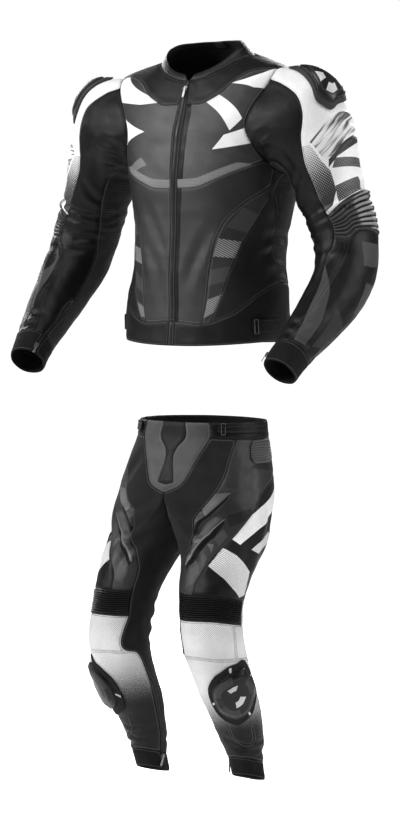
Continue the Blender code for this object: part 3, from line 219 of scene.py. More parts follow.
# The seams that divide each skin, besides those at its edges.
SEAMS = {
    "body": (HEM_BAND, UNDERBUST, YOKE_FRONT, YOKE_BACK, INSERT_INNER, INSERT_OUTER, INSERT_END,
             SIDE_UPPER, SIDE_BACK, BACK_SIDE),
    "collar": (),
    "sleeve": (SLEEVE_FRONT, ELBOW_TOP, ELBOW_BOTTOM, ELBOW_BACK, FOREARM_TOP, UNDER_FRONT,
               UNDER_BACK, WRIST_ZIP_INNER, WRIST_ZIP_OUTER),
    "leg": (WAISTBAND, FLY, PLACKET, THIGH_INNER, SEAT_SIDE, SIDE_PANEL_FRONT, KNEE_TOP, KNEE_END,
            KNEE_INNER, KNEE_BOTTOM, SHIN_INNER, CALF_ZIP, CALF_ZIP_CUFF, SHIN_BACK, BACK_OF_KNEE),
}
# Spots that lie inside each panel; its name spreads from them as far as the seams.
SPOTS = {
    "body": {
        "front_zip": ((0.8, 0.2), (0.8, 0.54), (0.8, 0.03)), "hem_band": ((15, 0.025),),
        "belly": ((15, 0.2),), "chest": ((20, 0.44),), "yoke": ((30, 0.556),),
        "side_insert": ((34, 0.15),), "side_panel": ((70, 0.2),), "side_stretch": ((100, 0.25),),
        "back": ((150, 0.3),),
    },
    "collar": {"collar": ((90, 0.3),)},
    "sleeve": {
        "sleeve_front": ((-110, 0.25),), "sleeve_outer": ((30, 0.12),), "elbow_ribs": ((20, 0.36),),
        "forearm": ((40, 0.6),), "sleeve_under": ((-170, 0.2), (165, 0.3)),
        "wrist_zip": ((-160, 0.65), (-141, 0.74)), "cuff": ((0, 0.75), (-170, 0.75)),
    },
    "leg": {
        "waistband": ((0, -0.77),), "fly": ((-68, -0.79),), "placket": ((-86, -0.77),),
        "inner_leg": ((-60, -0.86), (-150, -1.1), (170, -1.2)), "thigh": ((-30, -0.9),),
        "outer_leg": ((0, -1.0),), "seat": ((75, -0.9),), "knee_ribs": ((-60, -1.13),),
        "shin": ((-60, -1.3),), "calf_zip": ((-173, -1.4),), "ankle_cuff": ((0, -1.5), (-178.5, -1.5)),
    },
}

# --- raised lines on the panels ----------------------------------------------------------------
SHOULDER_PLEATS = tuple(((-5, height), (70, height)) for height in (0.176, 0.198, 0.220))
PLEAT_WIDTH = 0.0110       # from crest to foot
PLEAT_HEIGHT = 0.0045
THIGH_RIDGES = (
    ((-38, -0.895), (-57, -0.943), (-74, -0.974), (-92, -0.996)),
    ((-42, -0.949), (-60, -0.982), (-91, -1.013), (-110, -1.038)),
)
RIDGE_WIDTH = 0.008
RIDGE_HEIGHT = 0.0055
RIDGE_STEP = 0.004         # points along a raised line
GROOVE_AT, GROOVE_WIDTH = 0.8, 0.35    # of the groove under it, in the line's own widths
PLEAT_ROWS = (0.0110, 0.0075, 0.0040, 0.0015)    # rows of points beside a pleat
RIDGE_ROWS = (0.0090, 0.0060, 0.0035, 0.0012)    # and beside a ridge
# The zips' lines of teeth, and where the hinge of each pull tab lies.
WRIST_CHAIN = ((-166, 0.625), (-160, 0.660), (-154, 0.690), (-146, 0.725), (-141, 0.748))
CALF_CHAIN = ((-171, -1.33), (-173, -1.36), (-173, -1.39), (-173, -1.42), (-173, -1.45), (-173, -1.49))
FRONT_CHAIN = ((0, 0.002), (0, 0.553))
WRIST_HINGE = (-138, 0.745)
CALF_HINGE = (-173, -1.487)
FRONT_HINGE = (0.0, 0.548)

# --- names -------------------------------------------------------------------------------------
SINGLE = ("collar", "front_zip", "yoke", "back", "hem_band", "waistband", "placket", "seat")
SIDES = (("left", 1), ("right", -1))    # the right side is the left one mirrored


def columns(names, rows):
    """The rows of a table as one array for each named column."""
    return {name: np.array([row[i] for row in rows], float) for i, name in enumerate(names)}


def hermite(t, y0, y1, slope0, slope1):
    """A cubic from y0 to y1; both slopes are per unit of t."""
    return ((1 + 2 * t) * (1 - t) ** 2 * y0 + t * (1 - t) ** 2 * slope0
            + t * t * (3 - 2 * t) * y1 + t * t * (t - 1) * slope1)


def smooth(x, y, at):
    """A monotone cubic through the points (x, y), read at `at`."""
    x, y = np.asarray(x, float), np.asarray(y, float)
    if x[0] > x[-1]:
        x, y = x[::-1], y[::-1]
    at = np.clip(np.asarray(at, float), x[0], x[-1])
    width = np.diff(x)
    rise = np.diff(y) / width
    slope = np.zeros(len(x))
    before, after = 2 * width[1:] + width[:-1], width[1:] + 2 * width[:-1]
    with np.errstate(divide="ignore", invalid="ignore"):
        mean = (before + after) / (before / rise[:-1] + after / rise[1:])
    slope[1:-1] = np.where(rise[:-1] * rise[1:] > 0, mean, 0)
    slope[0], slope[-1] = rise[0], rise[-1]
    i = np.clip(np.searchsorted(x, at, side="right") - 1, 0, len(width) - 1)
    t = (at - x[i]) / width[i]
    return hermite(t, y[i], y[i + 1], width[i] * slope[i], width[i] * slope[i + 1])


def periodic(x, y, at, period=360.0):
    """A closed smooth curve through the points (x, y), read at `at`."""
    order = np.argsort(x)
    x, y = np.asarray(x, float)[order], np.asarray(y, float)[order]
    wide_x = np.concatenate([x[-2:] - period, x, x[:2] + period])
    wide_y = np.concatenate([y[-2:], y, y[:2]])
    slope = (wide_y[2:] - wide_y[:-2]) / (wide_x[2:] - wide_x[:-2])
    x, y = wide_x[1:-1], wide_y[1:-1]
    at = (np.asarray(at, float) - x[1]) % period + x[1]
    i = np.clip(np.searchsorted(x, at, side="right") - 1, 0, len(x) - 2)
    width = x[i + 1] - x[i]
    t = (at - x[i]) / width
    return hermite(t, y[i], y[i + 1], width * slope[i], width * slope[i + 1])


def ease(t):
    """0 to 1 with flat ends."""
    t = np.clip(t, 0, 1)
    return t * t * (3 - 2 * t)


def squared(c, power):
    """A sine or cosine bent towards a rounded square."""
    return np.sign(c) * np.abs(c) ** (2 / power)


def both(u, v):
    return np.broadcast_arrays(np.asarray(u, float), np.asarray(v, float))


# --- skins -----------------------------------------------------------------------------------
BODY_TABLE = columns(BODY_COLUMNS, BODY)
ARMHOLE_TABLE = columns(ARMHOLE_COLUMNS, ARMHOLE)
ARM_TABLE = columns(ARM_COLUMNS, ARM)
HIP_TABLE = columns(HIP_COLUMNS, HIP)
LEG_TABLE = columns(LEG_COLUMNS, LEG)
RISE_TABLE = columns(RISE_COLUMNS, RISE)
ARM_LINE = np.stack([ARM_TABLE[k] for k in "xyz"], -1)
ARM_ALONG = np.concatenate([[0], np.cumsum(np.linalg.norm(np.diff(ARM_LINE, axis=0), axis=1))])
SLEEVE_LENGTH = CAP_LENGTH + ARM_ALONG[-1]
CUFF_TOP = SLEEVE_LENGTH - CUFF_LENGTH


def body(theta, v):
    """The jacket's body.  theta: 0 front, 90 left, 180 back."""
    theta, v = both(theta, v)
    g = {k: smooth(BODY_TABLE["v"], BODY_TABLE[k], v) for k in BODY_COLUMNS[1:]}
    s, c = np.sin(np.radians(theta)), np.cos(np.radians(theta))
    s = np.where(np.abs(s) < 1e-9, 0, s)
    reach = np.where(c > 0, g["widest_y"] - g["front_y"], g["back_y"] - g["widest_y"])
    z = (g["side_z"] + (HEM_FRONT_Z + v - g["side_z"]) * np.maximum(c, 0) ** 2
         + (g["back_z"] - g["side_z"]) * np.maximum(-c, 0) ** 2)
    x = g["half_width"] * squared(s, g["power"])
    return np.stack([x, g["widest_y"] - reach * squared(c, g["power"]), z], -1)


def collar(theta, h):
    """The stand collar, from the neck ring at h = 0 to its top edge at h = 1."""
    theta, h = both(theta, h)
    s, c = np.sin(np.radians(theta)), np.cos(np.radians(theta))
    s = np.where(np.abs(s) < 1e-9, 0, s)
    mid = COLLAR["widest_y"]
    reach = np.where(c > 0, mid - COLLAR["front_y"], COLLAR["back_y"] - mid)
    front = ((1 + c) / 2) ** COLLAR_DIP_POWER
    top = np.stack([COLLAR["half_width"] * s, mid - reach * c, COLLAR_BACK_Z - COLLAR_DIP * front], -1)
    k = h[..., None]
    return body(theta, NECK_V) * (1 - k) + top * k


def armhole(phi):
    """(theta, v) of the left armhole."""
    table = ARMHOLE_TABLE
    return periodic(table["phi"], table["theta"], phi), periodic(table["phi"], table["v"], phi)


def arm_frame(s):
    """Centre, direction, back and side vectors of the arm at s metres below the cap."""
    def at(q):
        return np.stack([smooth(ARM_ALONG, ARM_LINE[:, k], q) for k in range(3)], -1)
    ahead = at(s + 0.01) - at(s - 0.01)
    ahead /= np.linalg.norm(ahead, axis=-1, keepdims=True)
    back = np.cross([1.0, 0.0, 0.0], ahead)
    back /= np.linalg.norm(back, axis=-1, keepdims=True)
    return at(s), ahead, back, np.cross(ahead, back)


def arm_tube(phi, s):
    centre, _, back, side = arm_frame(s)
    lateral = smooth(ARM_ALONG, ARM_TABLE["lateral"], s) * squared(np.cos(np.radians(phi)), ARM_POWER)
    depth = smooth(ARM_ALONG, ARM_TABLE["depth"], s) * squared(np.sin(np.radians(phi)), ARM_POWER)
    return centre + side * lateral[..., None] + back * depth[..., None]


def sleeve(phi, w):
    """The left sleeve.  phi: 0 outer, 90 back, 180 inner, -90 front; w: metres from the armhole."""
    phi, w = both(phi, w)
    turn = np.radians(phi)
    under = ((1 - np.cos(turn)) / 2)[..., None]
    leave = np.concatenate([1 - 0.25 * under, 0.25 * np.sin(turn)[..., None], 0.02 - 0.65 * under], -1)
    leave /= np.linalg.norm(leave, axis=-1, keepdims=True)
    start, end = body(*armhole(phi)), arm_tube(phi, np.zeros_like(phi))
    chord = np.linalg.norm(end - start, axis=-1, keepdims=True)
    ahead = arm_frame(np.zeros_like(phi))[1]
    t = np.clip(w / CAP_LENGTH, 0, 1)[..., None]
    cap = hermite(t, start, end, leave * chord * (1.9 - 0.9 * under), ahead * chord * (1.4 - 0.4 * under))
    return np.where(w[..., None] < CAP_LENGTH, cap, arm_tube(phi, np.maximum(w - CAP_LENGTH, 0)))


def leg(phi, z):
    """The trousers' left half.  phi: 0 outer, 90 back, 180 inner, -90 front."""
    phi, z = both(phi, z)
    phi = (phi + 180) % 360 - 180
    c, s = np.cos(np.radians(phi)), np.sin(np.radians(phi))
    c = np.where(np.abs(c) < 1e-9, 0, c)
    g = {k: smooth(HIP_TABLE["z"], HIP_TABLE[k], np.maximum(z, HIP[-1][0])) for k in HIP_COLUMNS[1:]}
    inner = np.abs(phi) > 90
    reach = np.where(s < 0, g["widest_y"] - g["front_y"], g["back_y"] - g["widest_y"])
    across = np.where(phi >= 0, 180 - phi, -180 - phi) / 90
    hip_x = np.where(inner, 0.0, g["half_width"] * squared(np.maximum(c, 0), g["power"]))
    hip_y = np.where(inner, (g["back_y"] + g["front_y"]) / 2 + (g["back_y"] - g["front_y"]) / 2 * across,
                     g["widest_y"] + reach * squared(s, g["power"]))
    hip = np.stack([hip_x, hip_y, z], -1)
    low = {k: smooth(LEG_TABLE["z"], LEG_TABLE[k], np.minimum(z, LEG[0][0])) for k in LEG_COLUMNS[1:]}
    back = low["depth"] * squared(s, LEG_POWER)
    tube = np.stack([low["x"] + low["lateral"] * squared(c, LEG_POWER), low["y"] + back,
                     z + low["slope"] * back], -1)
    rise = smooth(RISE_TABLE["phi"], RISE_TABLE["z"], phi)
    blend = ease((rise - z) / (rise - PLAIN_LEG_Z))[..., None]
    point = hip * (1 - blend) + tube * blend
    apart = np.where(rise - z > 1e-6, THIGH_GAP + THIGH_SPREAD * (rise - z), 0)
    point[..., 0] = np.where(inner, np.maximum(point[..., 0], apart), point[..., 0])
    return point


def lifted(points):
    """The posture: the left shoulder rises a little and the right one falls."""
    points = np.array(points, float)
    k = ease((points[..., 2] - LIFT_FROM_Z) / (LIFT_TO_Z - LIFT_FROM_Z))
    points[..., 2] += SHOULDER_LIFT * points[..., 0] * k
    return points


SURFACES = {"body": body, "collar": collar, "sleeve": sleeve, "leg": leg}
# Laid flat, roughly: the radius that turns a skin's degrees into metres, and metres per height.
SCALES = {
    "body": np.array([math.radians(0.165), 1.0]),
    "collar": np.array([math.radians(0.10), 0.04]),
    "sleeve": np.array([math.radians(0.07), 1.0]),
    "leg": np.array([math.radians(0.075), 1.0]),
}
# The angles and heights of each skin, and the angle at which its rows of points are evenly spaced.
DOMAINS = {
    "body": ((0, 180), (0, NECK_V), 65),
    "collar": ((0, 180), (0, 1), 90),
    "sleeve": ((-180, 180), (0, SLEEVE_LENGTH), -60),
    "leg": ((-180, 180), (ANKLE_Z, WAIST_Z), 0),
}
TURNED = ("sleeve",)       # skins whose angle and height, taken in this order, face inward


def on_skin(region, u, v, flip):
    """Places on a skin and the outward directions there; flip is -1 on the right side."""
    surface = SURFACES[region]
    across = surface(u + 0.5, v) - surface(u - 0.5, v)
    along = surface(u, v + 0.001) - surface(u, v - 0.001)
    out = np.cross(across, along) * (-1 if region in TURNED else 1)
    out = out / np.maximum(np.linalg.norm(out, axis=-1, keepdims=True), 1e-12)
    return surface(u, v) * [flip, 1, 1], out * [flip, 1, 1]


# --- what is printed on the panels -------------------------------------------------------------
# What is printed on each skin: (panel, side, style, corners), the side left, right or both.
PRINTS = {
    "body": (
        ("yoke", "left", "black_leather", ((1.7, 0.512), (4.8, 0.512), (4.8, 0.567), (1.7, 0.567))),
        ("chest", "left", "black_leather", ((1.7, 0.335), (4.8, 0.335), (4.8, 0.515), (1.7, 0.515))),
        ("belly", "left", "black_leather", ((1.7, 0.05), (4.4, 0.05), (4.4, 0.34), (1.7, 0.34))),
        ("chest", "left", "white_leather", ((14, 0.514), (23, 0.5235), (42, 0.468), (34, 0.45))),
        ("chest", "left", "white_leather", ((30, 0.443), (56, 0.456), (60, 0.424), (23, 0.415))),
        ("chest", "left", "white_leather", ((36, 0.5365), (84, 0.526), (62, 0.503), (50, 0.513))),
        ("chest", "right", "white_leather", ((27, 0.5275), (70, 0.5365), (60, 0.496), (30, 0.507),
         (16, 0.517))),
        ("chest", "right", "white_leather", ((52, 0.48), (22, 0.458), (54, 0.428))),
        ("chest", "right", "light_hatch", ((46, 0.382), (26, 0.404), (19, 0.388), (40, 0.369))),
        ("chest", "both", "chest_mesh", ((1.7, 0.3365), (15, 0.339), (30, 0.357), (46, 0.3725), (58, 0.381),
         (44, 0.3865), (29, 0.374), (14, 0.357), (1.7, 0.355))),
        ("chest", "both", "chest_holes", ((13, 0.44), (22, 0.436), (17, 0.366), (8, 0.366))),
        ("side_insert", "left", "light_hatch", ((22, 0.06), (33, 0.078), (38, 0.114), (25, 0.1))),
        ("side_insert", "left", "grey_block", ((26, 0.13), (42, 0.14), (46, 0.172), (29, 0.164))),
        ("side_insert", "left", "light_hatch", ((31, 0.192), (50, 0.188), (56, 0.222), (35, 0.23))),
        ("side_insert", "left", "grey_block", ((40, 0.254), (61, 0.24), (70, 0.276), (54, 0.294))),
        ("side_insert", "right", "light_hatch", ((22, 0.056), (34, 0.066), (36, 0.098), (24, 0.08))),
        ("side_insert", "right", "grey_block", ((25, 0.108), (38, 0.126), (44, 0.16), (28, 0.14))),
        ("side_insert", "right", "light_hatch", ((30, 0.172), (48, 0.18), (54, 0.212), (34, 0.206))),
        ("side_insert", "right", "grey_block", ((38, 0.236), (58, 0.228), (66, 0.262), (48, 0.272))),
    ),
    "sleeve": (
        ("sleeve_outer", "both", "brushed", ((-64, 0.196), (-34, 0.178), (-4, 0.172), (26, 0.172),
         (26, 0.206), (10, 0.216), (-38, 0.24), (-54, 0.238))),
        ("sleeve_outer", "both", "mesh_print", ((-84, 0.188), (-66, 0.202), (-58, 0.24), (-46, 0.268),
         (-44, 0.306), (-58, 0.3295), (-80, 0.3385), (-88, 0.29))),
        ("sleeve_outer", "both", "wedge_print", ((26, 0.21), (-16, 0.226), (-44, 0.244), (-48, 0.26),
         (-28, 0.242), (26, 0.226))),
        ("sleeve_outer", "both", "dark_dots", ((-34, 0.245), (26, 0.254), (28, 0.274), (-42, 0.263))),
        ("sleeve_outer", "both", "dark_dots", ((-44, 0.298), (8, 0.292), (12, 0.3225), (0, 0.3225),
         (-46, 0.3285))),
        ("forearm", "both", "grey_block", ((-98, 0.5), (-84, 0.6), (-66, 0.704), (-28, 0.7), (-34, 0.64),
         (-58, 0.57))),
        ("forearm", "both", "grey_block", ((-26, 0.424), (22, 0.418), (30, 0.448), (-18, 0.474))),
        ("forearm", "both", "grey_block", ((2, 0.496), (36, 0.48), (44, 0.54), (18, 0.562))),
        ("forearm", "both", "dark_hatch", ((-20, 0.59), (20, 0.6), (30, 0.66), (-10, 0.69))),
    ),
    "leg": (
        ("thigh", "both", "thigh_light", ((-55, -0.899), (-36, -0.8966), (-55, -0.942), (-59, -0.947),
         (-64, -0.9221))),
        ("thigh", "both", "thigh_mid", ((-66, -0.928), (-60, -0.95), (-73, -0.9745), (-88, -0.989),
         (-88, -0.96))),
        ("thigh", "both", "thigh_mid", ((-52, -0.9461), (-44, -0.95), (-59, -0.981), (-76, -0.9986),
         (-84, -0.9965), (-68, -0.9776))),
        ("thigh", "both", "thigh_light", ((-80, -0.9926), (-73, -0.9941), (-76, -1.0001), (-86, -1.0001))),
        ("thigh", "both", "thigh_mid", ((-86, -1.0016), (-77, -1.0001), (-90, -1.013), (-110, -1.035),
         (-103, -1.0211))),
        ("thigh", "both", "thigh_mid", ((-57, -0.9941), (-45, -0.9716), (-42, -0.9881), (-54, -1.0046))),
        ("thigh", "both", "thigh_light", ((-67, -1.001), (-59, -1.0016), (-65, -1.0166))),
        ("thigh", "both", "thigh_mid", ((-76, -1.016), (-72, -1.0231), (-81, -1.0421), (-88, -1.0676),
         (-108, -1.0811), (-110, -1.0556))),
        ("thigh", "both", "thigh_dark", ((-14, -0.846), (2, -0.816), (36, -0.822), (30, -0.862))),
        ("thigh", "both", "thigh_dark", ((-40, -0.944), (-16, -0.93), (-8, -0.948), (-38, -0.968))),
        # painted highlight and painted shadow: a light strip on each thigh ridge's crest and a dark strip
        # in the groove below it
        ("thigh", "both", "fin_dark", ((-37, -0.8975), (-41, -0.912), (-55, -0.9456), (-73, -0.979),
         (-93, -1.0035), (-92, -0.997), (-75, -0.975), (-58, -0.944))),
        ("thigh", "both", "fin_light", ((-42, -0.95), (-43, -0.954), (-59, -0.9851), (-90, -1.0155),
         (-110, -1.04), (-111, -1.0375), (-92, -1.0135), (-61, -0.9833))),
        ("thigh", "both", "fin_dark", ((-43, -0.954), (-43, -0.961), (-57, -0.991), (-88, -1.0215),
         (-109, -1.047), (-111, -1.0421), (-91, -1.016), (-60, -0.9851))),
        ("outer_leg", "both", "white_leather", ((34, -0.88), (10, -0.916), (-18, -0.95), (-40, -0.99),
         (-28, -1.004), (6, -0.966), (38, -0.924))),
        ("outer_leg", "both", "white_lines", ((-50, -1.008), (-46, -1.011), (-32, -1.023), (2, -1.064),
         (14, -1.116), (-2, -1.116), (-44, -1.064), (-72, -1.0376))),
        ("outer_leg", "both", "white_lines", ((8, -1.03), (-10, -1.016), (20, -0.984), (30, -1.004))),
        ("outer_leg", "both", "grey_leather", ((40, -0.96), (24, -0.968), (34, -1.03), (42, -1.034))),
    ),
}
# Rows of stitches that part no panels, on each skin.
TRIM = {
    "body": (
        ((180, 0.112), (180, 0.3), (180, 0.49)),
        ((180, 0.43), (150, 0.424), (128, 0.398)),
    ),
    "collar": (
        ((10, 0.74), (30, 0.8), (90, 0.84), (180, 0.84)),
    ),
    "sleeve": (
        ((-56, 0.43), (-66, 0.5), (-72, 0.6), (-78, 0.712)),
        ((30, 0.406), (34, 0.52), (30, 0.62), (26, 0.712)),
    ),
    "leg": (
        ((-134, -1.2536), (-114, -1.2536), (-58, -1.2566), (-12, -1.25), (28, -1.244), (64, -1.236)),
        ((-8, -1.176), (-9, -1.21), (-12, -1.248)),
        ((-84, -1.412), (-80, -1.436), (-62, -1.446), (-36, -1.446), (-22, -1.436), (-18, -1.404)),
    ),
}
# the crests of these panels get a painted highlight, a lighter copy of their leather
RIBS = {"elbow_ribs": "rib_crest"}      # panels whose crests have a look of their own
ELBOW_RIBS, KNEE_RIBS = 8, 12
RIB_ROWS = (0, 0.09, 0.24, 0.5, 0.76, 0.91)      # rows of points across a rib
RIB_STEP = 0.0030          # points along a rib
RIB_ROUNDNESS = 0.8        # 1 is a sine; less is fuller
RIB_VALLEY = 0.25          # a valley is this share of the height below the panel's skin
# painted highlight: rib faces above this height and away from the seams take the lighter crest look
RIB_HIGHLIGHT_HEIGHT = 0.0012         # rib faces above this height are lighter
RIB_SEAM = 0.0040          # and farther than this from a seam

# --- style and finish of the panels ------------------------------------------------------------
# Panel: (style outside, slot in the record).
PANELS = {
    "collar": ("soft_black", "stretch_cloth"),
    "front_zip": ("tape", "zip_tape"),
    "yoke": ("soft_black", "grey_leather"),
    "chest": ("grey_leather", "grey_leather"),
    "belly": ("grey_holes", "grey_leather"),
    "side_insert": ("dark_hatch", "grey_leather"),
    "side_panel": ("black_holes", "black_leather"),
    "side_stretch": ("stretch_ribs", "stretch_cloth"),
    "back": ("black_leather", "black_leather"),
    "hem_band": ("soft_black", "black_leather"),
    "sleeve_front": ("black_leather", "black_leather"),
    "sleeve_outer": ("white_leather", "white_leather"),
    "elbow_ribs": ("rib_valley", "black_leather"),
    "forearm": ("black_leather", "black_leather"),
    "sleeve_under": ("stretch_ribs", "stretch_cloth"),
    "wrist_zip": ("tape", "zip_tape"),
    "cuff": ("neoprene", "neoprene"),
    "waistband": ("black_leather", "black_leather"),
    "fly": ("fly_leather", "grey_leather"),
    "placket": ("black_leather", "black_leather"),
    "inner_leg": ("stretch", "stretch_cloth"),
    "thigh": ("thigh_leather", "grey_leather"),
    "outer_leg": ("black_leather", "black_leather"),
    "seat": ("black_leather", "black_leather"),
    "knee_ribs": ("black_leather", "black_leather"),
    "shin": ("shin_fade", "white_leather"),
    "calf_zip": ("tape", "zip_tape"),
    "ankle_cuff": ("neoprene", "neoprene"),
}
WALLS = {"collar": COLLAR_WALL, "cuff": CUFF_WALL, "ankle_cuff": CUFF_WALL}    # the others are leather
LININGS = {"neoprene": "neoprene"}      # the other styles are lined with dark mesh
SEAM_ROW = 0.0026          # rows of points run this far beside each sewn seam
SEAM_DEPTH = 0.0008        # a seam lies this deep in the cloth
SEAM_WIDTH = 0.0032        # and its groove is this wide to each side
SEAM_SWELL = 0.0005        # the cloth swells a little beside it
SWELL_AT, SWELL_WIDTH = 0.0075, 0.0045    # where the swelling is highest, and how wide it is
RELIEF_EDGE = 0.004        # raised lines and ribs fade out this near to a seam
FAR_FROM_SEAMS = 0.05      # greater distances from a seam are all given as this one
FINE_STEP = 0.0012         # spacing of the points from which those distances are measured
MIDDLE_OVERLAP = 0.01      # a side's cloth is looked up this far beyond the middle
NEIGHBOURS, NEAREST = 6, 0.0008    # heights are averaged over this many points; none counts as nearer
EDGE_SAMPLES = 600         # points of an edge before they are spaced evenly
SUIT = "suit"              # the body that carries both garments

# The points of a shell lie in rows, as in a grid of even triangles.
ROW_SPACING = 0.87         # from row to row, in steps
FREE_SPACE = 0.55          # no loose point is nearer to a drawn one than this, in steps
RIDGE_CLEARANCE = 0.0008   # no point beside a raised line is nearer to a seam than this
SEAM_REACH = 0.016         # a seam's loose end is joined to a line this near
CORNER_REACH = 0.0012      # and to a point of that line, if one is this near


# --- seams and triangles on a skin --------------------------------------------------------------
def cumulative(points):
    """Distance along a row of points."""
    return np.concatenate([[0], np.cumsum(np.linalg.norm(np.diff(points, axis=0), axis=1))])


def between(start, end, count):
    """Points on a straight line."""
    t = np.linspace(0, 1, count)[:, None]
    return np.array(start, float) * (1 - t) + np.array(end, float) * t


def curve(points, scale, count):
    """A smooth line through corners given as (angle, height)."""
    points = np.array(points, float)
    knots = cumulative(points * scale)
    slopes = np.gradient(points, knots, axis=0)
    at = np.linspace(0, knots[-1], count)
    i = np.clip(np.searchsorted(knots, at, side="right") - 1, 0, len(knots) - 2)
    width = (knots[i + 1] - knots[i])[:, None]
    t = (at - knots[i])[:, None] / width
    return hermite(t, points[i], points[i + 1], slopes[i] * width, slopes[i + 1] * width)


def tree_of(points):
    tree = KDTree(len(points))
    for i, point in enumerate(points):
        tree.insert(point, i)
    tree.balance()
    return tree


def distances(tree, points):
    """How far each point is from the tree's nearest one, and which one that is."""
    found = [tree.find(point) for point in points]
    return np.array([f[2] for f in found]), np.array([f[1] for f in found])


def ordered(a, b):
    return (a, b) if a < b else (b, a)


